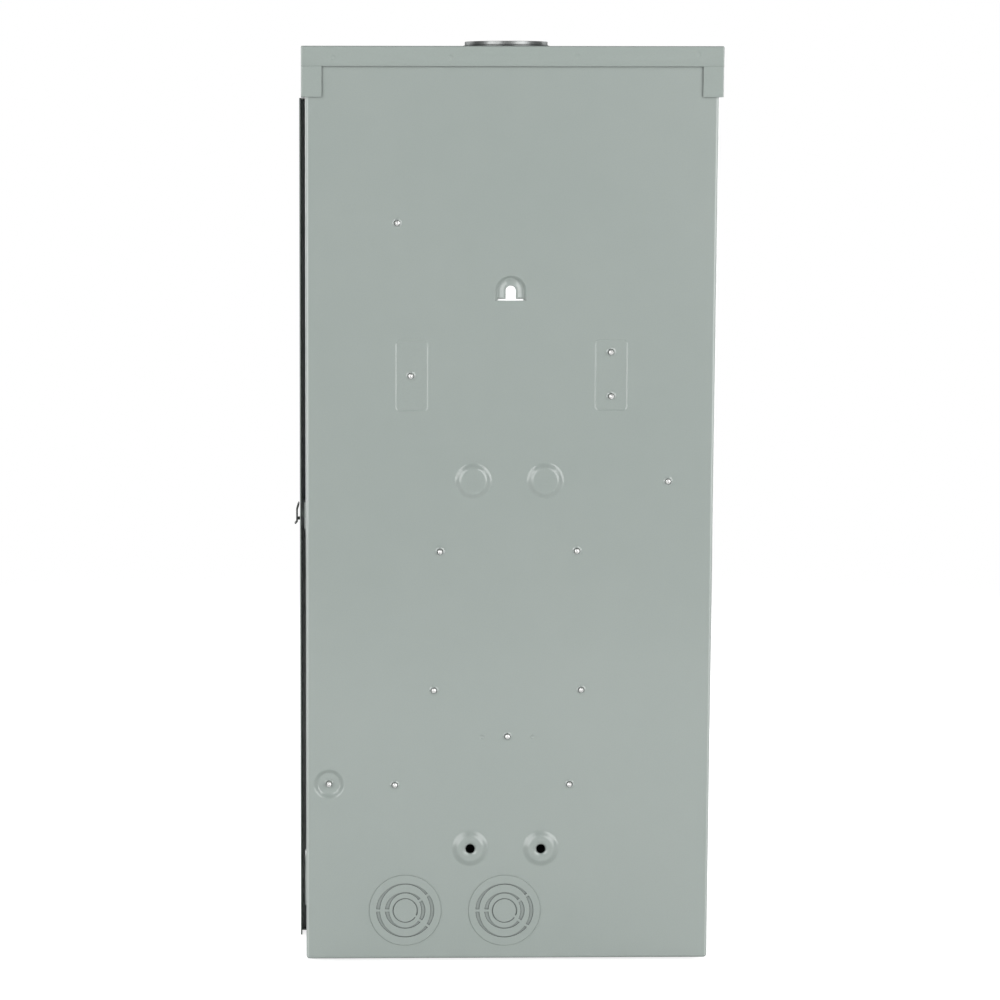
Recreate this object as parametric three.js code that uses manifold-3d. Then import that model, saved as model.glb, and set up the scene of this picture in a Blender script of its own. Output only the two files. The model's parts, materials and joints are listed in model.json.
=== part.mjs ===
// Outdoor residential load center: a folded steel box with a rain hood, a side-hinged door,
// a dead front, a main breaker, branch breakers, bus bars, neutral bars and ground hardware.
//
// Millimetres, +Z up. The back sheet's outer face is the plane y = 0, the wall is on +Y and
// the door faces -Y. The origin is the middle of the back sheet's outer face.

import * as THREE from 'three';
import { mergeVertices } from 'three/addons/utils/BufferGeometryUtils.js';
import Module from 'manifold-3d';

const wasm = await Module();
wasm.setup();

// ---------------------------------------------------------------- driving dimensions

const SHEET = 1.5;
const GAP = 0.3;
const COIN = 1.0;

const BODY = {
  half: 181, top: 404, bottom: -408, depth: 112, corner: 3, lip: 14, sill: -370, header: 352,
  notchIn: 178.6, notchUp: 2.6, step: 0.4,
};

const HOOD = {
  half: 184.6, top: 408, sideBottom: 364, front: 126, lipBottom: 390.5, tabWidth: 18, corner: 2,
};

const HUB = {
  x: 2.6, y: -52, hole: 34, rim: 36.7, rimWall: 1.2, flange: 38.6, flangeThick: 1, floor: 1.2, height: 4.9,
  bore: 3.4, ringOuter: 46.5, ringInner: 45.5, ringDepth: 0.4,
};
const CLAMP = { half: 44, width: 8, top: 1.8, bottom: 4.3 };
const HUB_BOLT = { head: 6, headHeight: 2.6, shank: 3, length: 12 };

const DOOR = { half: 186.5, top: 363.6, bottom: -411.5, front: 119, reach: 22, turn: 5.5, inset: 1 };

const HINGE = {
  x: -189.2, y: -100, barrel: 2.4, pin: 1.2, bore: 1.5, head: 2.4,
  knuckle: 20, doorKnuckle: 12, clearance: 0.4, heights: [250, -270],
  leafTall: 44, leafBack: -64, leafFront: -94, armFront: -95.5,
};

const LATCH = {
  top: -5, bottom: -25, back: -100.5, front: -111.5, face: 190, thick: 1.6, hinge: 187.4, flare: 1.5,
  tongue: 185, heel: 4, tongueThick: 2,
};
const KEEPER = { back: -84, bend: -106, thick: 1.2, overlap: 2 };

const TRAY = {
  half: 164.2, top: 348, bottom: -367, floor: 91.2, sheet: 1.2,
  lipHalf: 177, lipTop: 358, lipBottom: -381, lipCorner: 4,
};
const TRAY_SCREW = {
  x: 172, high: 300, low: -340, head: 4.2, shank: 1.9, hole: 2.6, bodyHole: 2.3, length: 9.5, sides: 12,
};

const SPACE = { pitch: 25.4, count: 10, top: 40, clearance: 0.4 };
const BREAKER = {
  inner: 6, outer: 81, base: 34, shoulder: 82, noseRoot: 86, noseIn: 29.5, noseOut: 62.5, nose: 94,
};
const TOGGLE = {
  x: 46, y: -84.5, hub: 4.6, reach: 21.5, thick: 5.6, tilt: 14,
  slotHalf: 7.2, singleHalf: 5.5, doubleHalf: 17, room: 0.5,
};

const MAIN = {
  half: 50, bottom: 60, top: 182, base: 28.3, face: 86, noseHalf: 21.5, noseLow: 89, noseHigh: 151, nose: 94,
};
const MAIN_TOGGLE = {
  x: 0, y: -82, z: 120, hub: 6.5, reach: 26, thick: 9, height: 24, tilt: 16, slotHalf: 11,
};
const MAIN_LUG = { inner: 17, outer: 35, front: 58, back: 40, depth: 26, key: 5, keyX: 26, keyDrop: 13 };

const PAN = { half: 104, top: 60, bottom: -222, front: 13.5, skirt: 6, foot: 7 };
const BASE = {
  half: 104, top: 60, bottom: -220, floor: 20, rail: 40, railIn: 86, railAbove: 6, railBelow: 8,
  deck: 22, deckHalf: 26,
};
const BUS = { inner: 4, outer: 20, back: 22.3, front: 24.8, bottom: -215, top: 85, screwHole: 6 };
const STAB = { near: 9.5, far: 12, front: 32.5, back: 30, half: 7 };
const NEUTRAL = { inner: 90, outer: 100, back: 40.3, front: 50.3, bottom: -150, top: 42 };
const LINK = { thick: 2, low: 43, high: 57, legLow: 36, riserIn: 94, riserOut: 106, riserTop: 246 };
const LUG = {
  x: 101, half: 11, low: 240, high: 272, back: 20, boreHalf: 8, boreFront: 44, boreBack: 26,
  key: 4, keyZ: 262, margin: 2,
};
const STRAP = { low: 14, high: 34, outer: 150, drop: 106, thick: 1.5 };
const GROUND = { left: -66, right: 113, front: 16, back: 6, low: -252.5, high: -242.5, foot: 4.8 };
const GROUND_LUG = {
  half: 7.1, tang: 2.5, tangLow: -254, low: -237, high: -221, front: 22, boreHalf: 4.6, boreFront: 18.5,
  key: 3, keyZ: -229,
};
const MAIN_BASE = {
  half: 102, low: 88, high: 153, front: 28, back: 13.5, footIn: 72, footLow: 91, footHigh: 150, step: 4,
};
const SEAL = { half: 17, low: 180, high: 211, corner: 4, thick: 3 };
const FILLER = { inner: 26.5, outer: 65.5, plugIn: 29.6, plugOut: 62.4, wall: 1.4, depth: 3, margin: 2.5 };

const SCREW = { shank: 2.2, hole: 2.6, head: 4.4, headHeight: 2.2, tip: 3.4, cone: 2.6, sides: 10 };

// Screws driven from inside, whose points come out through the back sheet: [x, z, seat depth].
const BACK_SCREWS = {
  neutral_lug_screw: [100.7, 254.3, 10.3],
  main_base_screw_right: [88.2, 120, 13.8],
  main_base_screw_left_upper: [-88.4, 141, 13.8],
  main_base_screw_left_lower: [-88.9, 102, 13.8],
  bonding_screw: [-140.3, 26.1, 3.6],
  pan_screw_upper_right: [61.8, -36.5, 20.3],
  pan_screw_upper_left: [-59.9, -36, 20.3],
  pan_screw_lower_right: [66.9, -161.7, 20.3],
  pan_screw_lower_left: [-64.9, -161.5, 20.3],
  pan_screw_bottom: [1, -203.6, 22.3],
  ground_bar_screw_right: [101.7, -247.8, 16.3],
  ground_bar_screw_left: [-55.3, -247.3, 16.3],
  ground_lug_screw: [160.6, -246.9, 7.6],
};

const WALL_BOSSES = [[32.6, 26.6], [-31.3, 26.9]];
const MOUNTING_BOSSES = [[33.8, -306], [-29.8, -306.2]];
const BOSS = { foot: 17, flat: 9, height: 3, hole: 4.05 };
const RECESS = { x: 160.6, z: -246.9, foot: 14.3, flat: 9, depth: 3 };
const PADS = [{ x: 87.35, z: 120.2 }, { x: -88.85, z: 120.8 }];
const PAD = { half: 13.7, tall: 30.8, corner: 2.6, border: 1.2 };
const KEYHOLE = {
  x: 0.3, sill: 186.2, shelf: 188.4, arch: 194.6, radius: 14.2, depth: 3.5,
  slot: 4.6, slotArch: 195, rim: 9.4, rimHeight: 1.2, slit: 10.4,
};
const LOCATORS = [[23.8, -204], [-21.5, -204.1]];
const LOCATOR_RADIUS = 1.3;
const KNOCKOUTS = [[92, -362.8], [2.5, -363.2]];
const KNOCKOUT = { foot: 32.6, flat: 31.8, height: 0.8, groove: 0.7, width: 1 };
const KNOCKOUT_RINGS = [
  { radius: 24.9, ties: [0, 145, 215] },
  { radius: 17.2, ties: [0, 145, 215] },
  { radius: 11.1, ties: [210] },
];
const TIE_WIDTH = 2.2;

// ---------------------------------------------------------------- materials

const makeMaterial = (color, roughness, metalness) =>
  new THREE.MeshStandardMaterial({ color, roughness, metalness });

const MATERIALS = {
  paint: () => makeMaterial(0xa3ada7, 0.45, 0.15),
  zinc: () => makeMaterial(0xc3c8c8, 0.3, 0.9),
  galvanised: () => makeMaterial(0xb0b5b6, 0.42, 0.85),
  aluminium: () => makeMaterial(0xc4c7ca, 0.35, 0.9),
  tinned: () => makeMaterial(0xbdbfbe, 0.3, 0.9),
  moulding: () => makeMaterial(0x1d1e20, 0.5, 0),
  insulator: () => makeMaterial(0x2c2f33, 0.6, 0),
  toggle: () => makeMaterial(0x141416, 0.4, 0),
  filler: () => makeMaterial(0x6f7573, 0.55, 0),
  foam: () => makeMaterial(0xf6f6f3, 0.9, 0),
};

// ---------------------------------------------------------------- solids

const MERGE_TOLERANCE = 1e-4;
const CLEAN_TOLERANCE = 5e-3;

function signedVolume(points, triangles) {
  const [a, b, c] = [new THREE.Vector3(), new THREE.Vector3(), new THREE.Vector3()];
  let sum = 0;
  for (let i = 0; i < triangles.length; i += 3) {
    a.fromArray(points, 3 * triangles[i]);
    b.fromArray(points, 3 * triangles[i + 1]);
    c.fromArray(points, 3 * triangles[i + 2]);
    sum += a.dot(b.cross(c));
  }
  return sum;
}

function solidFrom(geometry) {
  geometry.deleteAttribute('normal');
  geometry.deleteAttribute('uv');
  const merged = mergeVertices(geometry, MERGE_TOLERANCE);
  const points = Float32Array.from(merged.attributes.position.array);
  const corners = merged.index.array;
  const triangles = [];
  for (let i = 0; i < corners.length; i += 3) {
    const [a, b, c] = corners.slice(i, i + 3);
    const degenerate = a === b || b === c || c === a;
    if (!degenerate) triangles.push(a, b, c);
  }
  if (signedVolume(points, triangles) < 0) triangles.reverse();
  const triVerts = Uint32Array.from(triangles);
  return new wasm.Manifold(new wasm.Mesh({ numProp: 3, vertProperties: points, triVerts }));
}

function geometryFrom(solid) {
  const mesh = solid.asOriginal().simplify(CLEAN_TOLERANCE).getMesh();
  const geometry = new THREE.BufferGeometry();
  geometry.setAttribute('position', new THREE.BufferAttribute(mesh.vertProperties, mesh.numProp));
  geometry.setIndex(new THREE.BufferAttribute(mesh.triVerts, 1));
  geometry.computeVertexNormals();
  return geometry;
}

const join = (...solids) => solids.reduce((whole, solid) => whole.add(solid));
const cut = (solid, ...tools) => tools.reduce((rest, tool) => rest.subtract(tool), solid);

function block([x0, x1], [y0, y1], [z0, z1]) {
  const geometry = new THREE.BoxGeometry(x1 - x0, y1 - y0, z1 - z0);
  geometry.translate((x0 + x1) / 2, (y0 + y1) / 2, (z0 + z1) / 2);
  return solidFrom(geometry);
}

function rodY(x, z, radius, y0, y1, sides = 16) {
  const geometry = new THREE.CylinderGeometry(radius, radius, y1 - y0, sides);
  geometry.translate(x, (y0 + y1) / 2, z);
  return solidFrom(geometry);
}

function rodZ(x, y, radius, z0, z1, sides = 16) {
  const geometry = new THREE.CylinderGeometry(radius, radius, z1 - z0, sides);
  geometry.rotateX(Math.PI / 2);
  geometry.translate(x, y, (z0 + z1) / 2);
  return solidFrom(geometry);
}

// A shape drawn in X and Z, given thickness from y0 to y1.
function plateY(shape, y0, y1, curveSegments = 8) {
  const geometry = new THREE.ExtrudeGeometry(shape, { depth: y1 - y0, bevelEnabled: false, curveSegments });
  geometry.rotateX(Math.PI / 2);
  geometry.translate(0, y1, 0);
  return solidFrom(geometry);
}

// A shape drawn in X and Y, given height from z0 to z1.
function plateZ(shape, z0, z1, curveSegments = 4) {
  const geometry = new THREE.ExtrudeGeometry(shape, { depth: z1 - z0, bevelEnabled: false, curveSegments });
  geometry.translate(0, 0, z0);
  return solidFrom(geometry);
}

// An outline of [radius, height] points spun about the Y axis at x, z.
function spinY(outline, x, z, sides = 24) {
  const points = outline.map(([radius, height]) => new THREE.Vector2(radius, height));
  const geometry = new THREE.LatheGeometry(points, sides);
  geometry.translate(x, 0, z);
  return solidFrom(geometry);
}

// An outline of [radius, height] points spun about the Z axis at x, y.
function spinZ(outline, x, y, sides = 24) {
  const points = outline.map(([radius, height]) => new THREE.Vector2(radius, height));
  const geometry = new THREE.LatheGeometry(points, sides);
  geometry.rotateX(Math.PI / 2);
  geometry.translate(x, y, 0);
  return solidFrom(geometry);
}

function polygon(points) {
  return new THREE.Shape(points.map(([u, v]) => new THREE.Vector2(u, v)));
}

function roundedRectangle([u0, u1], [v0, v1], radius) {
  const shape = new THREE.Shape();
  const quarter = Math.PI / 2;
  shape.absarc(u1 - radius, v1 - radius, radius, 0, quarter);
  shape.absarc(u0 + radius, v1 - radius, radius, quarter, 2 * quarter);
  shape.absarc(u0 + radius, v0 + radius, radius, 2 * quarter, 3 * quarter);
  shape.absarc(u1 - radius, v0 + radius, radius, 3 * quarter, 4 * quarter);
  shape.closePath();
  return shape;
}

// A flat-bottomed arch centred on u: straight sides up to the springing line, then a half circle.
function archShape(u, bottom, springing, radius) {
  const shape = new THREE.Shape();
  shape.moveTo(u - radius, bottom);
  shape.lineTo(u + radius, bottom);
  shape.lineTo(u + radius, springing);
  shape.absarc(u, springing, radius, 0, Math.PI);
  shape.closePath();
  return shape;
}

const mirrored = ([x0, x1], side) => (side > 0 ? [x0, x1] : [-x1, -x0]);

// ---------------------------------------------------------------- parts of the back sheet

// A round form pressed out of the sheet: a flat disc joined to the sheet by a sloping wall.
// The near side of the press gains a frustum, and the far side loses one.
function withPressedDisc(sheet, x, z, { foot, flat, height }, sides = 18) {
  const rise = Math.sign(height);
  const near = rise > 0 ? 0 : -SHEET;
  const far = -SHEET - near;
  const slope = (foot - flat) / Math.abs(height);
  const middle = near - rise * SHEET / 2;
  const bump = spinY(
    [[0, middle], [foot, middle], [foot, near], [flat, near + height], [0, near + height]], x, z, sides);
  const inset = SHEET / 3;
  const wide = foot - inset;
  const dent = spinY([
    [0, far - rise], [wide + slope, far - rise], [wide, far], [flat - inset, far + height], [0, far + height],
  ], x, z, sides);
  return cut(join(sheet, bump), dent);
}

// A rectangular pad coined inward, which gives a flat seat to the main breaker's base.
function withPad(sheet, { x, z }) {
  const outline = (border) => roundedRectangle(
    [x - PAD.half - border, x + PAD.half + border],
    [z - PAD.tall - border, z + PAD.tall + border], PAD.corner + border);
  const raised = plateY(outline(PAD.border), -SHEET - COIN, -SHEET + 0.1, 3);
  const pocket = plateY(outline(0), -COIN, 1, 3);
  return cut(join(sheet, raised), pocket);
}

// The hanging slot: an arched pocket pressed inward and lanced free along its sill.
function withKeyhole(sheet) {
  const { x, sill, shelf, arch, radius, depth } = KEYHOLE;
  const below = sill - 2;
  const under = -depth - SHEET - 1;
  const opening = plateY(archShape(x, sill, arch, radius), -SHEET - 1, 1, 8);
  const shell = plateY(archShape(x, sill - GAP, arch, radius + SHEET), -depth - SHEET, 0, 8);
  const hollow = plateY(archShape(x, below, arch, radius), -depth, 1, 8);
  const rimShape = archShape(x, shelf, KEYHOLE.slotArch, KEYHOLE.rim);
  const rim = plateY(rimShape, -depth - 0.1, -depth + KEYHOLE.rimHeight, 6);
  const slot = plateY(archShape(x, shelf - 1, KEYHOLE.slotArch, KEYHOLE.slot), under, 1, 6);
  const slit = block([x - KEYHOLE.slit, x + KEYHOLE.slit], [under, 1], [sill, shelf]);
  const reach = radius + 2 * SHEET;
  const lance = block([x - reach, x + reach], [under, -SHEET - 0.01], [below, sill + 0.4]);
  const pocket = cut(join(cut(shell, hollow), rim), slot, lance);
  return cut(join(cut(sheet, opening), pocket), slit);
}

function grooveShape(x, z, radius, from, to) {
  const shape = new THREE.Shape();
  shape.absarc(x, z, radius + KNOCKOUT.width / 2, from, to, false);
  shape.absarc(x, z, radius - KNOCKOUT.width / 2, to, from, true);
  shape.closePath();
  return shape;
}

// Concentric grooves, each left whole at its ties, in a disc that stands proud of the sheet.
function withKnockout(sheet, x, z) {
  const face = KNOCKOUT.height;
  let plate = withPressedDisc(sheet, x, z, KNOCKOUT);
  for (const { radius, ties } of KNOCKOUT_RINGS) {
    const half = TIE_WIDTH / 2 / radius;
    ties.forEach((tie, index) => {
      const from = THREE.MathUtils.degToRad(tie) + half;
      const next = index + 1 < ties.length ? ties[index + 1] : ties[0] + 360;
      const to = THREE.MathUtils.degToRad(next) - half;
      const steps = Math.max(4, Math.round(16 * (to - from) / (2 * Math.PI)));
      const groove = plateY(grooveShape(x, z, radius, from, to), face - KNOCKOUT.groove, face + 1, steps);
      plate = cut(plate, groove);
    });
  }
  return plate;
}

// ---------------------------------------------------------------- enclosure

function boxBody() {
  const outer = roundedRectangle([-BODY.half, BODY.half], [-BODY.depth, 0], BODY.corner);
  const inner = [[-BODY.half + SHEET, BODY.half - SHEET], [-BODY.depth + SHEET, -SHEET]];
  outer.holes.push(roundedRectangle(...inner, BODY.corner - SHEET));
  const tube = plateZ(outer, BODY.bottom, BODY.top, 3);
  const floor = block(
    [-BODY.half + 1, BODY.half - 1], [-BODY.depth + 1, -1], [BODY.bottom, BODY.bottom + SHEET]);
  const opening = block(
    [-BODY.half + BODY.lip, BODY.half - BODY.lip],
    [-BODY.depth - 1, -BODY.depth + SHEET + 0.1],
    [BODY.sill, BODY.header]);
  let body = cut(join(tube, floor), opening);
  for (const pad of PADS) body = withPad(body, pad);
  for (const [x, z] of [...WALL_BOSSES, ...MOUNTING_BOSSES]) body = withPressedDisc(body, x, z, BOSS);
  for (const [x, z] of MOUNTING_BOSSES) body = cut(body, rodY(x, z, BOSS.hole, -5, 5));
  body = withPressedDisc(body, RECESS.x, RECESS.z, {
    foot: RECESS.foot, flat: RECESS.flat, height: -RECESS.depth,
  });
  body = withKeyhole(body);
  for (const [x, z] of KNOCKOUTS) body = withKnockout(body, x, z);
  return cut(body, ...hoodSteps(), ...bodyHoles(), ...cornerNotches());
}

// The back sheet is stepped inward where the hood's lip and tabs lap over it.
function hoodSteps() {
  const depth = [-BODY.step, 1];
  const underLip = block(
    [-BODY.half - 1, BODY.half + 1], depth, [HOOD.lipBottom - GAP, BODY.top + 1]);
  const underTabs = [1, -1].map((side) => block(
    mirrored([HOOD.half - HOOD.tabWidth - GAP, BODY.half + 1], side), depth,
    [HOOD.sideBottom - GAP, HOOD.lipBottom]));
  return [underLip, ...underTabs];
}

function bodyHoles() {
  const through = [-RECESS.depth - 2 * SHEET, BOSS.height];
  const front = [-BODY.depth - 1, -BODY.depth + SHEET + 1];
  return [
    ...Object.values(BACK_SCREWS).map(([x, z]) => rodY(x, z, SCREW.hole, ...through, SCREW.sides)),
    ...LOCATORS.map(([x, z]) => rodY(x, z, LOCATOR_RADIUS, ...through, 6)),
    ...deadfrontScrewPlaces().map(([x, z]) => rodY(x, z, TRAY_SCREW.bodyHole, ...front, SCREW.sides)),
  ];
}

// Each lower corner of the back is relieved, where the side and the bottom fold meet.
function cornerNotches() {
  const up = [BODY.bottom - 1, BODY.bottom + BODY.notchUp];
  return [1, -1].map((side) => block(
    mirrored([BODY.notchIn, BODY.half + 1], side), [-BODY.corner, 1], up));
}

function topCap() {
  const rear = SHEET + GAP + SHEET;
  const outer = roundedRectangle([-HOOD.half, HOOD.half], [-HOOD.front, rear], HOOD.corner);
  const inner = [[-HOOD.half + SHEET, HOOD.half - SHEET], [-HOOD.front + SHEET, rear - SHEET]];
  const shell = cut(
    plateZ(outer, HOOD.sideBottom, HOOD.top, 3),
    plateZ(roundedRectangle(...inner, 0.5), HOOD.sideBottom - 1, HOOD.top - SHEET, 2));
  const inside = HOOD.half - SHEET;
  const behindLip = block(
    [-HOOD.half - 1, HOOD.half + 1], [rear - SHEET, rear + 1], [HOOD.sideBottom - 1, HOOD.lipBottom]);
  const hood = cut(shell, behindLip);
  const up = [HOOD.sideBottom, HOOD.lipBottom + 2 * SHEET];
  const tabs = [1, -1].map((side) => block(
    mirrored([HOOD.half - HOOD.tabWidth, HOOD.half], side), [GAP, GAP + SHEET], up));
  const bridges = [1, -1].map((side) => block(mirrored([inside, HOOD.half], side), [GAP, rear - 1], up));
  const whole = join(hood, ...tabs, ...bridges.map((bridge) => cut(bridge, behindLip)));
  return cut(whole, rodZ(HUB.x, HUB.y, HUB.hole, HOOD.top - 5, HOOD.top + 1, 24), hubRing());
}

// A ring coined into the hood, which marks the seat of the hub.
function hubRing() {
  const span = [HOOD.top - HUB.ringDepth, HOOD.top + 1];
  return cut(rodZ(HUB.x, HUB.y, HUB.ringOuter, ...span, 32), rodZ(HUB.x, HUB.y, HUB.ringInner, ...span, 32));
}

function hubClosingPlate() {
  const seat = HOOD.top + GAP;
  const floor = seat + HUB.floor;
  const ledge = seat + HUB.flangeThick;
  const top = HOOD.top + HUB.height;
  const inner = HUB.rim - HUB.rimWall;
  const plate = spinZ([
    [0, seat], [HUB.flange, seat], [HUB.flange, ledge], [HUB.rim, ledge],
    [HUB.rim, top - 0.5], [HUB.rim - 0.4, top], [inner, top], [inner, floor], [0, floor],
  ], HUB.x, HUB.y);
  return cut(plate, rodZ(HUB.x, HUB.y, HUB.bore, seat - 1, floor + 1, 12));
}

function hubClampBar() {
  const span = [HOOD.top - CLAMP.bottom, HOOD.top - CLAMP.top];
  const bar = block(
    [HUB.x - CLAMP.half, HUB.x + CLAMP.half], [HUB.y - CLAMP.width, HUB.y + CLAMP.width], span);
  return cut(bar, rodZ(HUB.x, HUB.y, HUB.bore, span[0] - 1, span[1] + 1, 12));
}

function hubBolt() {
  const seat = HOOD.top + HUB.floor + 2 * GAP;
  const head = rodZ(HUB.x, HUB.y, HUB_BOLT.head, seat, seat + HUB_BOLT.headHeight, 6);
  const shank = rodZ(HUB.x, HUB.y, HUB_BOLT.shank, HOOD.top - HUB_BOLT.length, seat + 0.5, 12);
  return join(head, shank);
}

function door() {
  const { half, front, bottom, top } = DOOR;
  const shape = roundedRectangle([-half, half], [-front, -front + 30], BODY.corner);
  const inner = roundedRectangle(
    [-half + SHEET, half - SHEET], [-front + SHEET, -front + 40], BODY.corner - SHEET);
  const shell = cut(plateZ(shape, bottom, top, 3), plateZ(inner, bottom - 1, top + 1, 3));
  const rearOff = block([-half - 1, half + 1], [-front + DOOR.reach, 0], [bottom - 1, top + 1]);
  const ends = [bottom, top - SHEET].map((z) => block(
    [-half + DOOR.inset, half - DOOR.inset], [-front + 0.2, -front + DOOR.turn], [z, z + SHEET]));
  const latchWindow = block(
    [half - 2 * SHEET, half + 1], [LATCH.front + SHEET, LATCH.back - 0.5], [LATCH.bottom + 2, LATCH.top - 7]);
  return cut(join(cut(shell, rearOff), ...ends, ...doorKnuckles()), latchWindow, ...hingeBores());
}

function doorKnuckles() {
  const reach = HINGE.knuckle / 2 + HINGE.clearance;
  const back = HINGE.y - HINGE.barrel;
  return HINGE.heights.flatMap((z) => [reach, -reach - HINGE.doorKnuckle].map((offset) => {
    const span = [z + offset, z + offset + HINGE.doorKnuckle];
    const barrel = rodZ(HINGE.x, HINGE.y, HINGE.barrel, ...span, 16);
    const web = block([HINGE.x + HINGE.bore, -DOOR.half + 0.5], [back, back + SHEET], span);
    return join(barrel, web);
  }));
}

function hingeBores() {
  const reach = HINGE.knuckle + HINGE.doorKnuckle;
  return HINGE.heights.map((z) => rodZ(HINGE.x, HINGE.y, HINGE.bore, z - reach, z + reach, 16));
}

function hingeLeaf(z) {
  const span = [z - HINGE.knuckle / 2, z + HINGE.knuckle / 2];
  const inner = -BODY.half - GAP;
  const across = [inner - SHEET, inner];
  const tall = HINGE.leafTall / 2;
  const leaf = block(across, [HINGE.leafFront, HINGE.leafBack], [z - tall, z + tall]);
  const web = block(across, [HINGE.armFront, HINGE.leafFront + 1], span);
  const arm = block([HINGE.x - 0.5, inner - 0.2], [HINGE.armFront, HINGE.leafFront], span);
  const neck = block([HINGE.x - 0.5, HINGE.x + 1], [HINGE.y + HINGE.barrel - 0.4, HINGE.leafFront], span);
  const barrel = rodZ(HINGE.x, HINGE.y, HINGE.barrel, ...span, 16);
  return cut(join(leaf, web, arm, neck, barrel), rodZ(HINGE.x, HINGE.y, HINGE.bore, z - 20, z + 20, 16));
}

function hingePin(z) {
  const reach = HINGE.knuckle / 2 + HINGE.clearance + HINGE.doorKnuckle;
  const pin = rodZ(HINGE.x, HINGE.y, HINGE.pin, z - reach - 2, z + reach + 1, 12);
  return join(pin, rodZ(HINGE.x, HINGE.y, HINGE.head, z + reach + GAP, z + reach + 2, 12));
}

// A spring-returned finger latch: it turns about its curled top edge and its tongue faces the keeper.
function doorLatch() {
  const { top, bottom, face, hinge, flare } = LATCH;
  const inner = face - LATCH.thick;
  const outline = [
    [hinge - 0.4, top - 1], [hinge + 0.4, top], [face - 1, top - 2.6], [face, top - 6],
    [face, bottom + 2.2], [face + flare, bottom + 0.6], [face + flare - 1, bottom],
    [inner, bottom + 2.2], [inner, top - 6.4], [inner - 0.8, top - 4], [hinge - 0.2, top - 2.4],
  ];
  const leaf = plateY(polygon(outline), LATCH.front, LATCH.back, 1);
  const heel = bottom + LATCH.heel;
  const tongue = block(
    [LATCH.tongue, face - 1], [LATCH.front + 2, LATCH.back - 1], [heel, heel + LATCH.tongueThick]);
  return join(leaf, tongue);
}

function latchKeeper() {
  const span = [LATCH.bottom - KEEPER.overlap, LATCH.top + KEEPER.overlap];
  const root = BODY.half + GAP;
  const foot = block([root, root + KEEPER.thick], [KEEPER.bend, KEEPER.back], span);
  const lip = block([root, LATCH.tongue - GAP], [KEEPER.bend - KEEPER.thick, KEEPER.bend], span);
  return join(foot, lip);
}

// ---------------------------------------------------------------- dead front

const WINDOW_DEPTH = [-TRAY.floor - 2, -TRAY.floor + 2 * TRAY.sheet];

function columnWindow(side) {
  const bottom = SPACE.top - SPACE.pitch * SPACE.count;
  const across = mirrored([BREAKER.noseIn - 0.5, BREAKER.noseOut + 0.5], side);
  return block(across, WINDOW_DEPTH, [bottom, SPACE.top]);
}

function deadfront() {
  const { half, top, bottom, sheet, lipHalf, lipTop, lipBottom } = TRAY;
  const face = -BODY.depth - GAP;
  const lip = roundedRectangle([-lipHalf, lipHalf], [lipBottom, lipTop], TRAY.lipCorner);
  const lipPlate = plateY(lip, face - SHEET, face, 3);
  const tray = block([-half, half], [face - 0.7, -TRAY.floor + sheet], [bottom, top]);
  const hollow = block(
    [-half + sheet, half - sheet], [face - 2 * SHEET, -TRAY.floor], [bottom + sheet, top - sheet]);
  const mainWindow = block(
    [-MAIN.noseHalf - 0.5, MAIN.noseHalf + 0.5], WINDOW_DEPTH, [MAIN.noseLow - 0.5, MAIN.noseHigh + 0.5]);
  const holes = deadfrontScrewPlaces().map(([x, z]) => rodY(
    x, z, TRAY_SCREW.hole, face - 2 * SHEET, face + 1, 12));
  return cut(cut(join(lipPlate, tray), hollow), mainWindow, columnWindow(1), columnWindow(-1), ...holes);
}

function deadfrontScrewPlaces() {
  const { x, high, low } = TRAY_SCREW;
  return [[x, high], [-x, high], [x, low], [-x, low]];
}

function deadfrontScrew(x, z) {
  const seat = -BODY.depth - 2 * GAP - SHEET;
  const { head, shank, length } = TRAY_SCREW;
  return spinY([
    [0, seat - 1.8], [head - 1, seat - 1.6], [head, seat - 0.6], [head, seat],
    [shank, seat], [shank, seat + length - 1.5], [0, seat + length],
  ], x, z, 12);
}

function fillerPlate(side, firstSpace) {
  const { inner, outer, plugIn, plugOut, wall, depth, margin } = FILLER;
  const high = SPACE.top - SPACE.pitch * firstSpace - 0.5;
  const low = SPACE.top - SPACE.pitch * SPACE.count;
  const face = -TRAY.floor - GAP;
  const back = -TRAY.floor + depth;
  const flange = block(mirrored([inner, outer], side), [face - wall, face], [low - margin, high]);
  const plug = block(mirrored([plugIn, plugOut], side), [face - 0.7, back], [low + 0.5, high - 0.5]);
  const hollow = block(
    mirrored([plugIn + wall, plugOut - wall], side), [face, back + 1], [low + 2, high - 2]);
  return cut(join(flange, plug), hollow);
}

// ---------------------------------------------------------------- interior

function screwHole(name, from, to, radius = SCREW.hole) {
  const [x, z] = BACK_SCREWS[name];
  return rodY(x, z, radius, from, to, SCREW.sides);
}

const PAN_SCREWS = Object.keys(BACK_SCREWS).filter((name) => name.startsWith('pan_screw'));

function interiorPan() {
  const { half, front, bottom, top } = PAN;
  const up = [bottom, top];
  const plate = block([-half, half], [-front, -front + SHEET], up);
  const skirts = [1, -1].map((side) => block(mirrored([half - SHEET, half], side), [-front, -PAN.skirt], up));
  const feet = PAN_SCREWS.map((name) => screwHole(name, -front + 0.5, -SHEET - GAP, PAN.foot));
  const holes = PAN_SCREWS.map((name) => screwHole(name, -front - 1, 0));
  return cut(join(plate, ...skirts, ...feet), ...holes);
}

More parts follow.
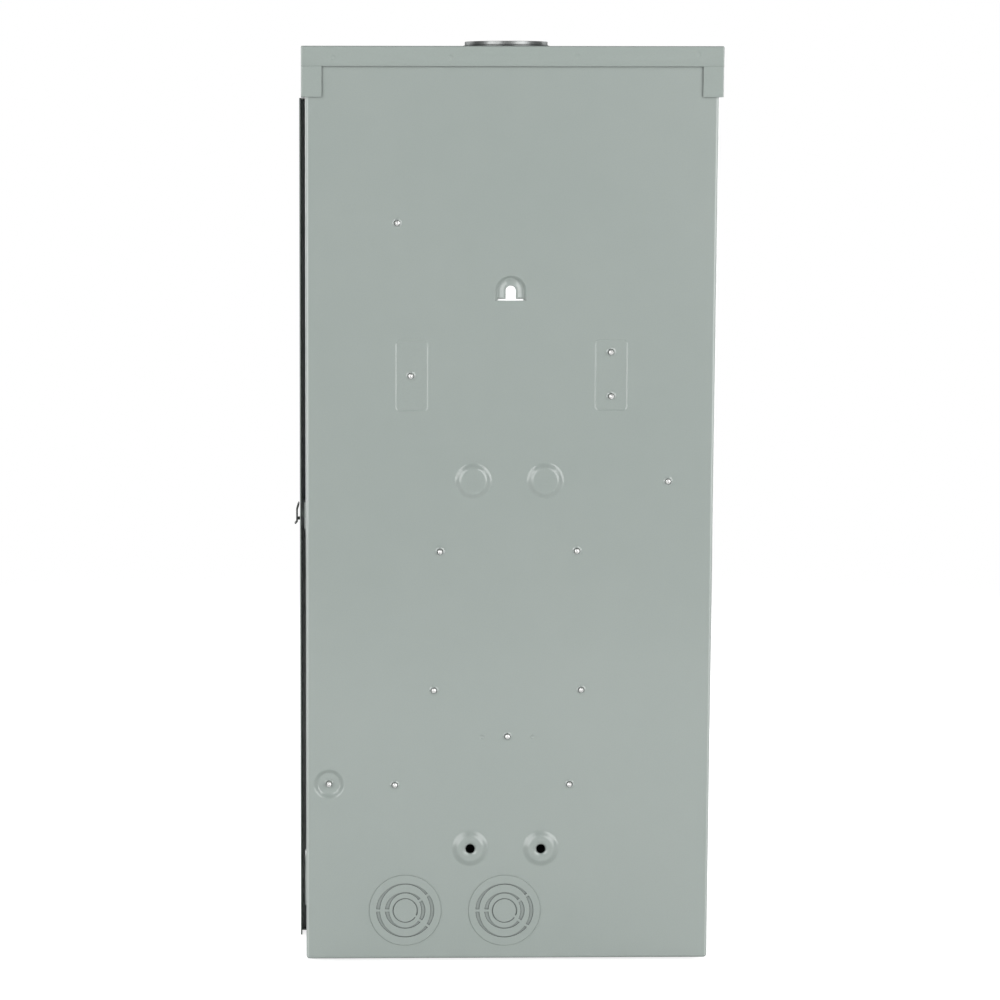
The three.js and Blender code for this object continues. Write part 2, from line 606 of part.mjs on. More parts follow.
// One moulding carries the bus bars on its deck and the neutral bars on its rails.
function interiorBase() {
  const back = -PAN.front - GAP;
  const up = [BASE.bottom, BASE.top];
  const floor = block([-BASE.half, BASE.half], [-BASE.floor, back], up);
  const deck = block([-BASE.deckHalf, BASE.deckHalf], [-BASE.deck, back], up);
  const rails = [1, -1].map((side) => block(
    mirrored([BASE.railIn, BASE.half], side), [-BASE.rail, back],
    [NEUTRAL.bottom - BASE.railBelow, NEUTRAL.top + BASE.railAbove]));
  const holes = PAN_SCREWS.map((name) => screwHole(name, -BASE.deck - 1, 0));
  return cut(join(floor, deck, ...rails), ...holes);
}

// The stabs of each bar reach across the centre, at every other space.
function busBar(side, firstSpace) {
  const bar = block(mirrored([BUS.inner, BUS.outer], side), [-BUS.front, -BUS.back], [BUS.bottom, BUS.top]);
  const stabs = [];
  for (let space = firstSpace; space < SPACE.count; space += 2) {
    const z = SPACE.top - SPACE.pitch * (space + 0.5);
    const span = [z - STAB.half, z + STAB.half];
    stabs.push(block(mirrored([STAB.near, STAB.far], side), [-STAB.front, -BUS.front + 0.2], span));
    stabs.push(block([-STAB.far, STAB.far], [-STAB.front, -STAB.back], span));
  }
  const hole = screwHole('pan_screw_bottom', -STAB.front - 1, -BUS.back + 1, BUS.screwHole);
  return cut(join(bar, ...stabs), hole);
}

function neutralBar(side) {
  const { inner, outer, front, back, bottom, top } = NEUTRAL;
  return block(mirrored([inner, outer], side), [-front, -back], [bottom, top]);
}

// The strap that joins both neutral bars and runs up to the service neutral lug.
function neutralLink() {
  const face = -NEUTRAL.front - GAP;
  const depth = [face - LINK.thick, face];
  const cross = block([-NEUTRAL.outer, NEUTRAL.outer], depth, [LINK.low, LINK.high]);
  const legs = [1, -1].map((side) => block(
    mirrored([NEUTRAL.inner, NEUTRAL.outer], side), depth, [LINK.legLow, LINK.high]));
  const riser = block([LINK.riserIn, LINK.riserOut], depth, [LINK.low, LINK.riserTop]);
  return join(cross, ...legs, riser);
}

function neutralLug() {
  const { x, half, low, high, boreHalf, boreFront, boreBack } = LUG;
  const body = block([x - half, x + half], [-NEUTRAL.front, -LUG.back], [low, high]);
  const bore = block([x - boreHalf, x + boreHalf], [-boreFront, -boreBack], [low - 1, high + 1]);
  const key = rodY(x, LUG.keyZ, LUG.key, -NEUTRAL.front - 1, -boreFront + 1, 12);
  return cut(body, bore, key);
}

function neutralLugStand() {
  const { x, half, low, high, back, margin } = LUG;
  const name = 'neutral_lug_screw';
  const [, , seat] = BACK_SCREWS[name];
  const wide = half + margin;
  const stand = block([x - wide, x + wide], [-back + GAP, -SHEET - GAP], [low - margin, high + margin]);
  return cut(stand, screwHole(name, -back, -seat, SCREW.head + COIN), screwHole(name, -back, SHEET));
}

function bondingStrap() {
  const front = -NEUTRAL.front - GAP;
  const back = -SHEET - GAP;
  const span = [STRAP.low, STRAP.high];
  const leg = block([-STRAP.drop - 0.5, -NEUTRAL.inner], [front - STRAP.thick, front], span);
  const drop = block([-STRAP.drop - STRAP.thick, -STRAP.drop], [front - STRAP.thick, back], span);
  const foot = block([-STRAP.outer, -STRAP.drop], [back - STRAP.thick, back], span);
  return cut(join(leg, drop, foot), screwHole('bonding_screw', -10, 2));
}

function groundBar() {
  const { left, right, front, back, low, high } = GROUND;
  const bar = block([left, right], [-front, -back], [low, high]);
  const names = ['ground_bar_screw_right', 'ground_bar_screw_left'];
  const feet = names.map((name) => screwHole(name, -back - 1, -SHEET - GAP, GROUND.foot));
  return cut(join(bar, ...feet), ...names.map((name) => screwHole(name, -front - 1, 2)));
}

function groundLug() {
  const { half, tang, tangLow, low, high, front, boreHalf, boreFront, key, keyZ } = GROUND_LUG;
  const seat = -RECESS.depth - SHEET - GAP;
  const across = [RECESS.x - half, RECESS.x + half];
  const foot = block(across, [seat - tang, seat], [tangLow, low + 1]);
  const body = block(across, [-front, seat], [low, high]);
  const inside = [RECESS.x - boreHalf, RECESS.x + boreHalf];
  const bore = block(inside, [-boreFront, seat - tang], [low - 1, high + 1]);
  const keyHole = rodY(RECESS.x, keyZ, key, -front - 1, -boreFront + 0.5, 12);
  return cut(join(foot, body), bore, keyHole, screwHole('ground_lug_screw', -15, 2));
}

function mainBreakerBase() {
  const { half, low, high, front, back, footIn, footLow, footHigh } = MAIN_BASE;
  const seat = -SHEET - COIN - GAP;
  const bridge = block([-half, half], [-front, -back], [low, high]);
  const feet = [1, -1].map((side) => block(
    mirrored([footIn, half], side), [-back, seat], [footLow, footHigh]));
  const lowered = [1, -1].map((side) => block(
    mirrored([footIn + MAIN_BASE.step, half + 1], side), [-front - 1, -back], [low - 1, high + 1]));
  const names = Object.keys(BACK_SCREWS).filter((name) => name.startsWith('main_base'));
  const holes = names.map((name) => screwHole(name, -front, 2));
  return cut(join(bridge, ...feet), ...lowered, ...holes);
}

function keyholeSeal() {
  const front = -KEYHOLE.depth - SHEET - GAP;
  const outline = roundedRectangle(
    [KEYHOLE.x - SEAL.half, KEYHOLE.x + SEAL.half], [SEAL.low, SEAL.high], SEAL.corner);
  return plateY(outline, front - SEAL.thick, front, 3);
}

function backScrew(x, z, seat) {
  const { shank, head, headHeight, tip, cone, sides } = SCREW;
  const top = -seat - headHeight;
  return spinY([
    [0, top], [head - 1, top], [head, top + 0.9], [head, -seat],
    [shank, -seat], [shank, tip - cone], [0.5, tip], [0, tip],
  ], x, z, sides);
}

// ---------------------------------------------------------------- breakers

function toggleSlot(x, halfSlot, z0, z1, hubY, hub) {
  const throat = block([x - halfSlot, x + halfSlot], [-BREAKER.nose - 6, hubY], [z0, z1]);
  return join(throat, rodZ(x, hubY, hub, z0, z1, 16));
}

function branchBreaker(side, space, poles) {
  const { inner, outer, base, shoulder, noseRoot, noseIn, noseOut, nose } = BREAKER;
  const high = SPACE.top - SPACE.pitch * space - SPACE.clearance / 2;
  const low = SPACE.top - SPACE.pitch * (space + poles) + SPACE.clearance / 2;
  const outline = [
    [inner, -base], [outer, -base], [outer, -shoulder], [noseOut, -noseRoot],
    [noseOut, -nose], [noseIn, -nose], [noseIn, -noseRoot], [inner, -shoulder],
  ].map(([x, y]) => [side * x, y]);
  const middle = (high + low) / 2;
  const half = toggleHalfHeight(poles) + TOGGLE.room;
  const slot = toggleSlot(
    side * TOGGLE.x, TOGGLE.slotHalf, middle - half, middle + half, TOGGLE.y, TOGGLE.hub + TOGGLE.room);
  return cut(plateZ(polygon(side > 0 ? outline : outline.reverse()), low, high, 1), slot);
}

const toggleHalfHeight = (poles) => (poles === 2 ? TOGGLE.doubleHalf : TOGGLE.singleHalf);

function toggle({ x, y, z, hub, reach, thick, half, lean }) {
  const stem = new THREE.BoxGeometry(thick, reach, 2 * half);
  stem.translate(0, -reach / 2, 0);
  stem.rotateZ(THREE.MathUtils.degToRad(lean));
  stem.translate(x, y, z);
  return join(solidFrom(stem), rodZ(x, y, hub, z - half, z + half, 16));
}

function branchHandle(side, space, poles) {
  const z = SPACE.top - SPACE.pitch * (space + poles / 2);
  const half = toggleHalfHeight(poles);
  return toggle({ ...TOGGLE, x: side * TOGGLE.x, z, half, lean: -side * TOGGLE.tilt });
}

function mainBreaker() {
  const { half, bottom, top, base, face, noseHalf, noseLow, noseHigh, nose } = MAIN;
  const body = block([-half, half], [-face, -base], [bottom, top]);
  const front = block([-noseHalf, noseHalf], [-nose, -face + 1], [noseLow, noseHigh]);
  const { y, z, hub, height, slotHalf } = MAIN_TOGGLE;
  const reach = height / 2 + TOGGLE.room;
  const slot = toggleSlot(0, slotHalf, z - reach, z + reach, y, hub + TOGGLE.room);
  const sockets = [1, -1].map((side) => block(
    mirrored([MAIN_LUG.inner, MAIN_LUG.outer], side), [-MAIN_LUG.front, -MAIN_LUG.back],
    [top - MAIN_LUG.depth, top + 1]));
  const keys = [1, -1].map((side) => rodY(
    side * MAIN_LUG.keyX, top - MAIN_LUG.keyDrop, MAIN_LUG.key, -face - 1, -MAIN_LUG.front + 8, 12));
  return cut(join(body, front), slot, ...sockets, ...keys);
}

function mainHandle() {
  return toggle({ ...MAIN_TOGGLE, half: MAIN_TOGGLE.height / 2, lean: -MAIN_TOGGLE.tilt });
}

// ---------------------------------------------------------------- assembly

const assembly = new THREE.Group();

function place(name, solid, material) {
  const mesh = new THREE.Mesh(geometryFrom(solid), material());
  mesh.name = name;
  assembly.add(mesh);
}

const { paint, zinc, galvanised, aluminium, tinned, moulding, insulator, filler, foam } = MATERIALS;

place('box_body', boxBody(), paint);
place('top_cap', topCap(), paint);
place('hub_closing_plate', hubClosingPlate(), zinc);
place('hub_clamp_bar', hubClampBar(), zinc);
place('hub_bolt', hubBolt(), zinc);
place('door', door(), paint);
['upper', 'lower'].forEach((where, index) => {
  place(`hinge_leaf_${where}`, hingeLeaf(HINGE.heights[index]), paint);
  place(`hinge_pin_${where}`, hingePin(HINGE.heights[index]), zinc);
});
place('door_latch', doorLatch(), paint);
place('latch_keeper', latchKeeper(), paint);
place('deadfront', deadfront(), paint);
deadfrontScrewPlaces().forEach(([x, z], index) => {
  place(`deadfront_screw_${index + 1}`, deadfrontScrew(x, z), zinc);
});
place('interior_pan', interiorPan(), galvanised);
place('interior_base', interiorBase(), insulator);
place('bus_bar_a', busBar(1, 0), tinned);
place('bus_bar_b', busBar(-1, 1), tinned);
place('neutral_bar_right', neutralBar(1), aluminium);
place('neutral_bar_left', neutralBar(-1), aluminium);
place('neutral_link', neutralLink(), aluminium);
place('neutral_lug', neutralLug(), aluminium);
place('neutral_lug_stand', neutralLugStand(), insulator);
place('bonding_strap', bondingStrap(), zinc);
place('ground_bar', groundBar(), aluminium);
place('ground_lug', groundLug(), aluminium);
place('keyhole_seal', keyholeSeal(), foam);
place('main_breaker_base', mainBreakerBase(), insulator);
place('main_breaker', mainBreaker(), moulding);
place('main_handle', mainHandle(), MATERIALS.toggle);

// Branch circuits: [side, first space, poles].
const CIRCUITS = [[1, 0, 2], [-1, 0, 2], [1, 2, 2], [-1, 2, 1], [-1, 3, 1], [1, 4, 1]];
CIRCUITS.forEach(([side, space, poles], index) => {
  place(`branch_breaker_${index + 1}`, branchBreaker(side, space, poles), moulding);
  place(`branch_handle_${index + 1}`, branchHandle(side, space, poles), MATERIALS.toggle);
});
place('filler_plate_right', fillerPlate(1, 5), filler);
place('filler_plate_left', fillerPlate(-1, 4), filler);

for (const [name, [x, z, seat]] of Object.entries(BACK_SCREWS)) {
  place(name, backScrew(x, z, seat), zinc);
}

export default assembly;
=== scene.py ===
"""Outdoor residential load center: sheet-metal enclosure, door, dead front, breakers and bus work.

Lengths are millimetres, scaled to metres when a mesh is made. The wall is on +Y, the door faces -Y
and +Z is up; the origin is the middle of the back sheet's outer face.
"""

import json
import math
import random

import bmesh
import bpy
from mathutils import Matrix, Vector

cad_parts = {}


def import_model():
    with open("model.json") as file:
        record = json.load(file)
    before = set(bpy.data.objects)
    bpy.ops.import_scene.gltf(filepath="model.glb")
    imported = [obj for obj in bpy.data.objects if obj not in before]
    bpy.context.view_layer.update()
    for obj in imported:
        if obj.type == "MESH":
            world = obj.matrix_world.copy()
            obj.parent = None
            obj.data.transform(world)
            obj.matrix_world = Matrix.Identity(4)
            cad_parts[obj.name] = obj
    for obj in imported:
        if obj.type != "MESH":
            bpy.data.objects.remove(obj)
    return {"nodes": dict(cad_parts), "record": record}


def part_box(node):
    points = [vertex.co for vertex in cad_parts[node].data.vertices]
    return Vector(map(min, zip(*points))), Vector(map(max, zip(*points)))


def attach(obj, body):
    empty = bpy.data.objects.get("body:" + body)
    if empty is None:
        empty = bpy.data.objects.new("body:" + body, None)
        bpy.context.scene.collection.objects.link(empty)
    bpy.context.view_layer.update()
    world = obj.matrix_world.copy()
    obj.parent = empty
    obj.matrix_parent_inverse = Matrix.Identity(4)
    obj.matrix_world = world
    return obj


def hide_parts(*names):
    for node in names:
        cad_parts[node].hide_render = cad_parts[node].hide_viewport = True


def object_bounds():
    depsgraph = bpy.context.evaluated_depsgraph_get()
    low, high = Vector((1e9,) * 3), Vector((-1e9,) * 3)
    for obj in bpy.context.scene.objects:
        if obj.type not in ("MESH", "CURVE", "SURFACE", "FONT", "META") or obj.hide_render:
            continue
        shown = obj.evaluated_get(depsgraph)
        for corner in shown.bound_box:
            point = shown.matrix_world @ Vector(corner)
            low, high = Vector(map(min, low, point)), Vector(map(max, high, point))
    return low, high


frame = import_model()
cad_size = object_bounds()

MM = 0.001
SHEET = 1.5
X, Y, Z = 0, 1, 2
TAU = 2 * math.pi
POLE = 25.4
# Folds sharper than this stay sharp, or are rounded off where a piece asks for it.
SHARP = math.radians(30)


def cad_box(node):
    """The lowest and highest corners of a CAD node, in millimetres."""
    low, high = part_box(node)
    return Vector(low) / MM, Vector(high) / MM


def cad_middle(node):
    low, high = cad_box(node)
    return (low + high) / 2


# ---------------------------------------------------------------- materials


class Finish:
    """A node material, built up from procedural noise in object space."""

    def __init__(self, name):
        self.material = bpy.data.materials.new(name)
        self.material.use_nodes = True
        self.tree = self.material.node_tree
        self.shader = self.tree.nodes["Principled BSDF"]
        self.place = self.add("ShaderNodeTexCoord").outputs["Object"]
        self.height = None

    def add(self, kind, **settings):
        node = self.tree.nodes.new(kind)
        for key, value in settings.items():
            setattr(node, key, value)
        return node

    def link(self, source, target):
        self.tree.links.new(source, target)

    def set(self, **values):
        for key, value in values.items():
            self.shader.inputs[key.replace("_", " ")].default_value = value

    def stretched(self, scale):
        mapping = self.add("ShaderNodeMapping")
        mapping.inputs["Scale"].default_value = scale
        self.link(self.place, mapping.inputs["Vector"])
        return mapping.outputs["Vector"]

    def noise(self, scale, detail=3.0, rough=0.5, vector=None):
        node = self.add("ShaderNodeTexNoise")
        node.inputs["Scale"].default_value = scale
        node.inputs["Detail"].default_value = detail
        node.inputs["Roughness"].default_value = rough
        self.link(vector or self.place, node.inputs["Vector"])
        return node.outputs["Fac"]

    def cells(self, scale, output="Color"):
        node = self.add("ShaderNodeTexVoronoi")
        node.inputs["Scale"].default_value = scale
        self.link(self.place, node.inputs["Vector"])
        return node.outputs[output]

    def ramp(self, source, low, high, start=0.3, end=0.7):
        """Maps a 0..1 source between two colours, or two plain numbers given as greys."""
        node = self.add("ShaderNodeValToRGB")
        stops = node.color_ramp.elements
        for stop, position, value in zip(stops, (start, end), (low, high)):
            stop.position = position
            stop.color = (value, value, value, 1) if isinstance(value, float) else (*value, 1)
        self.link(source, node.inputs["Fac"])
        return node.outputs["Color"]

    def mix(self, mode, factor, first, second):
        node = self.add("ShaderNodeMix", data_type="RGBA", blend_type=mode)
        sockets = (node.inputs["Factor"], node.inputs[6], node.inputs[7])
        for socket, value in zip(sockets, (factor, first, second)):
            if isinstance(value, bpy.types.NodeSocket):
                self.link(value, socket)
            else:
                socket.default_value = value if isinstance(value, float) else (*value, 1)
        return node.outputs[2]

    def cavity(self, reach, start=0.35, end=0.95):
        """Goes from 0 in tight corners to 1 in the open: the mask by which the finishes lay painted shade
        into corners.
        """
        node = self.add("ShaderNodeAmbientOcclusion", samples=8)
        node.inputs["Distance"].default_value = reach
        return self.ramp(node.outputs["AO"], 0.0, 1.0, start, end)

    def colour(self, source):
        self.link(source, self.shader.inputs["Base Color"])
        return self

    def roughness(self, source, low, high, start=0.3, end=0.7):
        self.link(self.ramp(source, low, high, start, end), self.shader.inputs["Roughness"])
        return self

    def bump(self, source, distance, strength=1.0):
        node = self.add("ShaderNodeBump")
        node.inputs["Distance"].default_value = distance
        node.inputs["Strength"].default_value = strength
        self.link(source, node.inputs["Height"])
        if self.height:
            self.link(self.height, node.inputs["Normal"])
        self.height = node.outputs["Normal"]
        self.link(self.height, self.shader.inputs["Normal"])
        return self


def painted(name, base, shade, corner_shade, coat=0.85, specular=0.5):
    """Baked enamel on steel: faint clouding, orange peel and small scuffs, with painted shade in its
    corners and creases.
    """
    paint = Finish(name)
    clouds = paint.ramp(paint.noise(5.0, 4.0), shade, base, 0.25, 0.75)
    speckle = paint.ramp(paint.noise(900.0, 2.0), 0.965, 1.0, 0.3, 0.6)
    grained = paint.mix("MULTIPLY", 1.0, clouds, speckle)
    # Painted shade: a darker colour is laid into tight corners and creases.
    darkened = paint.mix("MIX", paint.cavity(0.004), corner_shade, grained)
    paint.colour(darkened)
    paint.roughness(paint.noise(40.0, 5.0, 0.65), 0.34, 0.46)
    paint.bump(paint.noise(420.0, 2.0), 0.00002)
    paint.bump(paint.noise(9.0, 1.0), 0.0004, 0.35)
    paint.set(Metallic=0.0, Specular_IOR_Level=specular)
    paint.set(Coat_Weight=coat, Coat_Roughness=0.14, Coat_IOR=1.6)
    return paint.material


def plated(name, base, shade, rough, scale=60.0, brushed=(1, 1, 1), metallic=1.0, glance=1.0):
    """Bright plating or rolled metal, with drawn lines where it was brushed or rolled."""
    metal = Finish(name)
    grain = metal.noise(scale, 6.0, 0.7, metal.stretched(brushed))
    tone = metal.ramp(grain, shade, base)
    # Painted shade: a darker tone is laid into tight corners and creases.
    metal.colour(metal.mix("MIX", metal.cavity(0.002), tuple(0.35 * c for c in shade), tone))
    metal.roughness(metal.noise(scale * 3, 4.0, 0.6), rough, rough + 0.14)
    metal.bump(grain, 0.00002)
    metal.set(Metallic=metallic, Specular_Tint=(glance, glance, glance, 1.0))
    return metal.material


def spangled(name):
    """Hot-dipped galvanising, with its crystals."""
    zinc = Finish(name)
    crystals = zinc.cells(160.0)
    tone = zinc.ramp(crystals, (0.42, 0.44, 0.45), (0.62, 0.64, 0.65), 0.2, 0.8)
    # Painted shade: a dark grey is laid into tight corners and creases.
    zinc.colour(zinc.mix("MIX", zinc.cavity(0.003), (0.2, 0.21, 0.21), tone))
    zinc.roughness(crystals, 0.3, 0.52, 0.1, 0.9)
    zinc.bump(zinc.noise(300.0, 3.0), 0.00001)
    zinc.set(Metallic=0.9)
    return zinc.material


def moulded(name, base, shade, rough, grain=700.0):
    """Moulded plastic: an etched grain, with duller and glossier patches."""
    plastic = Finish(name)
    tone = plastic.ramp(plastic.noise(25.0, 4.0), shade, base)
    # Painted shade: a darker tone is laid into tight corners and creases.
    plastic.colour(plastic.mix("MIX", plastic.cavity(0.003), tuple(0.5 * c for c in shade), tone))
    plastic.roughness(plastic.noise(60.0, 4.0, 0.6), rough, rough + 0.12)
    plastic.bump(plastic.noise(grain, 2.0), 0.00003)
    return plastic.material


def foamed(name):
    """Closed-cell foam with a skin of small bubbles; it also glows a little, which is painted light."""
    foam = Finish(name)
    bubbles = foam.cells(700.0, "Distance")
    foam.colour(foam.ramp(bubbles, (0.86, 0.86, 0.85), (1.0, 1.0, 0.99), 0.1, 0.6))
    foam.roughness(foam.noise(200.0), 0.85, 0.98)
    foam.bump(bubbles, 0.0001)
    # Painted light: the foam glows, so that it shows white through the keyhole's slit.
    foam.set(Emission_Color=(1.0, 1.0, 1.0, 1.0), Emission_Strength=0.7)
    return foam.material


# Enamel tones: the base, a second tone for the clouding, and the darker colour of the painted shade in
# corners.
ENAMEL = ((0.385, 0.432, 0.405), (0.368, 0.418, 0.392), (0.27, 0.3, 0.285))
PAINT = painted("grey_enamel", *ENAMEL)
PAINT_DULL = painted("grey_enamel_weathered", *ENAMEL, coat=0.08, specular=0.2)
# A paler copy of the enamel for upright bends: a painted highlight.
PAINT_HIGHLIGHT = painted("grey_enamel_painted_highlight", (0.55, 0.6, 0.57), (0.49, 0.54, 0.51), (0.36, 0.4, 0.38))
# Darker copies of the enamel for the walls and floors of knockout grooves: painted shade.
PAINT_SHADED_WALL = painted("grey_enamel_shaded_wall", (0.2, 0.235, 0.222), (0.17, 0.205, 0.19), (0.09, 0.1, 0.1))
PAINT_SHADED_FLOOR = painted("grey_enamel_shaded_floor", (0.33, 0.37, 0.35), (0.31, 0.35, 0.33), (0.22, 0.25, 0.235))
ZINC = plated("zinc_plate", (0.6, 0.61, 0.6), (0.47, 0.48, 0.48), 0.26, 25.0)
HUB_METAL = plated("cast_zinc", (0.36, 0.37, 0.36), (0.29, 0.3, 0.3), 0.32, 25.0, glance=0.2)
STEEL_SCREW = plated("screw_zinc", (0.95, 0.95, 0.93), (0.8, 0.8, 0.78), 0.24, 400.0, metallic=0.55)
LATCH_STEEL = plated("latch_steel", (0.1, 0.105, 0.1), (0.06, 0.064, 0.06), 0.32, 80.0, metallic=0.7)
GALVANISED = spangled("galvanised_sheet")
ALUMINIUM = plated("extruded_aluminium", (0.8, 0.81, 0.82), (0.66, 0.67, 0.68), 0.26, 50.0, (14, 14, 0.6))
TINNED = plated("tinned_bus_bar", (0.74, 0.75, 0.74), (0.58, 0.59, 0.58), 0.22, 70.0, (12, 12, 0.5))
BREAKER = moulded("breaker_moulding", (0.022, 0.022, 0.024), (0.015, 0.015, 0.017), 0.36)
TOGGLE = moulded("toggle_moulding", (0.012, 0.012, 0.013), (0.008, 0.008, 0.009), 0.28, 500.0)
INSULATOR = moulded("insulator_moulding", (0.05, 0.053, 0.058), (0.034, 0.036, 0.04), 0.5)
FILLER = moulded("filler_plastic", (0.17, 0.185, 0.18), (0.14, 0.152, 0.148), 0.42)
GLOWING_FOAM = foamed("white_foam")

# ---------------------------------------------------------------- meshes


def polar(u, v, points):
    """Points about (u, v), from their angles and distances."""
    return [(u + away * math.cos(angle), v + away * math.sin(angle)) for angle, away in points]


def circle(u, v, radius, count=72):
    return polar(u, v, [(TAU * k / count, radius) for k in range(count)])


def rounded(u, v, half_u, half_v, corner, steps=6):
    """A rectangle with round corners, the same number of points for any size."""
    corner = max(corner, 0.05)
    points = []
    for quarter, (su, sv) in enumerate(((1, 1), (-1, 1), (-1, -1), (1, -1))):
        for k in range(steps + 1):
            angle = TAU / 4 * (quarter + k / steps)
            points.append((
                u + su * (half_u - corner) + corner * math.cos(angle),
                v + sv * (half_v - corner) + corner * math.sin(angle),
            ))
    return points


def framed(left, right, low, high, corner, steps=6):
    """A rectangle with round corners, between its four sides."""
    half_u, half_v = (right - left) / 2, (high - low) / 2
    return rounded((left + right) / 2, (low + high) / 2, half_u, half_v, corner, steps)


def arch(u, base, spring, radius, steps=24, legs=6):
    """A closed arch: legs from its base to its springing line, then a half circle."""
    leg = [base + (spring - base) * k / legs for k in range(legs)]
    crown = polar(u, spring, [(math.pi * k / steps, radius) for k in range(steps + 1)])
    return [(u + radius, v) for v in leg] + crown + [(u - radius, v) for v in leg[::-1]]


def ease(t):
    t = min(1.0, max(0.0, t))
    return t * t * (3 - 2 * t)


def fractions(steps):
    return [k / steps for k in range(steps + 1)]


def bridge(bm, outer, inner, closed=True):
    faces = []
    for k in range(len(outer) if closed else len(outer) - 1):
        j = (k + 1) % len(outer)
        faces.append(bm.faces.new((outer[k], outer[j], inner[j], inner[k])))
    return faces


def fill(bm, loops):
    """Fills a flat area bounded by the first loop, around the other loops."""
    edges = []
    for loop in loops:
        for a, b in zip(loop, loop[1:] + loop[:1]):
            edges.append(bm.edges.get((a, b)) or bm.edges.new((a, b)))
    made = bmesh.ops.triangle_fill(bm, edges=edges, use_beauty=True)
    return [item for item in made["geom"] if isinstance(item, bmesh.types.BMFace)]


class Panel:
    """A flat face of a shell, taken out so that forms and holes can be let into it.

    A point is (u, v, h): the two other axes in their usual order, and the height out of the face.
    """

    def __init__(self, bm, rim, axis, sign):
        self.bm, self.rim, self.axis, self.sign = bm, rim, axis, sign
        self.level = rim[0].co[axis]
        self.holes = []

    def ring(self, outline, height=0.0):
        return ring_at(self.bm, outline, self.axis, self.level + self.sign * height)

    def cut(self, outline):
        self.holes.append(self.ring(outline))

    def form(self, stages):
        """Lofts through (outline, height) stages, from the edge of the form to its open middle."""
        rings = [self.ring(outline, height) for outline, height in stages]
        loft(self.bm, rings, closed=False)
        self.holes.append(rings[0])
        return rings[-1]

    def press(self, stages):
        """A form whose middle is flat."""
        fill(self.bm, [self.form(stages)])

    def close(self):
        fill(self.bm, [self.rim, *self.holes])


def opened(bm, face, axis, sign):
    """Takes a flat face out so that forms and holes can be let into it."""
    rim = list(face.verts)
    bm.faces.remove(face)
    return Panel(bm, rim, axis, sign)


# Material slots of the painted sheets. Upright bends get a paler copy of the enamel, a painted highlight;
# the pair of bounds below says how far the faces of such a bend look along Y.
GROOVE_WALL, GROOVE_FLOOR, HIGHLIGHT_SLOT = 1, 2, 3
HIGHLIGHT_LOOK = (0.5, 0.98)
# A shell's face is an outer one if it lies within this distance of the shell's outermost point.
OUTER_LAYER = 4


class Shell:
    """Folded sheet, drawn by its outer skin: flat faces, then bends, then forms in the faces."""

    def __init__(self):
        self.bm = bmesh.new()
        self.points = {}

    def vert(self, point):
        key = tuple(round(c, 3) for c in point)
        if key not in self.points:
            self.points[key] = self.bm.verts.new(point)
        return self.points[key]

    def face(self, *corners):
        return self.bm.faces.new([self.vert(corner) for corner in corners])

    def flat(self, axis, level, low, high):
        """A flat rectangle across that axis, between two opposite corners."""
        outline = [low, (low[0], high[1]), high, (high[0], low[1])]
        self.face(*[(*point[:axis], level, *point[axis:]) for point in outline])

    def bend(self, radius, highest=math.inf, segments=6):
        """Rounds the folds, but for those that lie wholly above the highest level."""
        bmesh.ops.recalc_face_normals(self.bm, faces=self.bm.faces)
        self.bm.normal_update()
        folds = [
            edge for edge in self.bm.edges
            if len(edge.link_faces) == 2
            and abs(edge.link_faces[0].normal.dot(edge.link_faces[1].normal)) < 0.9
            and min(vert.co.z for vert in edge.verts) <= highest
        ]
        made = bmesh.ops.bevel(self.bm, geom=folds, offset=radius, offset_type="OFFSET", segments=segments,
                               profile=0.5, affect="EDGES", clamp_overlap=False)
        self.bm.normal_update()
        # Bend faces that look partly along Y take the paler enamel, a painted highlight.
        least, most = HIGHLIGHT_LOOK
        for face in made["faces"]:
            if least < abs(face.normal.y) < most and abs(face.normal.z) < 0.2:
                face.material_index = HIGHLIGHT_SLOT

    def panel(self, axis, sign):
        """The largest flat outer face that looks along that axis, opened up."""
        self.bm.normal_update()
        outer = max(vert.co[axis] * sign for vert in self.bm.verts) - OUTER_LAYER
        facing = [
            face for face in self.bm.faces
            if abs(face.normal[axis]) > 0.999 and face.verts[0].co[axis] * sign > outer
        ]
        return opened(self.bm, max(facing, key=lambda face: face.calc_area()), axis, sign)


def outward(bm, point, direction):
    """Turns every face so that the one nearest to the point looks in that direction."""
    bmesh.ops.recalc_face_normals(bm, faces=bm.faces)
    bm.normal_update()
    near = min(bm.faces, key=lambda f: (f.calc_center_median() - Vector(point)).length)
    if near.normal.dot(Vector(direction)) < 0:
        bmesh.ops.reverse_faces(bm, faces=bm.faces)


def shown(name, data):
    """A new object in the scene, made of that data."""
    thing = bpy.data.objects.new(name, data)
    bpy.context.scene.collection.objects.link(thing)
    return thing


def round_off(piece, width):
    """Rounds a piece's sharp edges, and gives the modifier that does it."""
    bevel = piece.modifiers.new("edges", "BEVEL")
    bevel.width = width * MM
    bevel.segments = 2
    bevel.limit_method = "ANGLE"
    bevel.angle_limit = SHARP
    return bevel


def shade(piece):
    """Smooth shading between sharp edges, in which large faces count most."""
    for polygon in piece.data.polygons:
        polygon.use_smooth = True
    piece.data.set_sharp_from_angle(angle=SHARP)
    weights = piece.modifiers.new("shading", "WEIGHTED_NORMAL")
    weights.keep_sharp = True


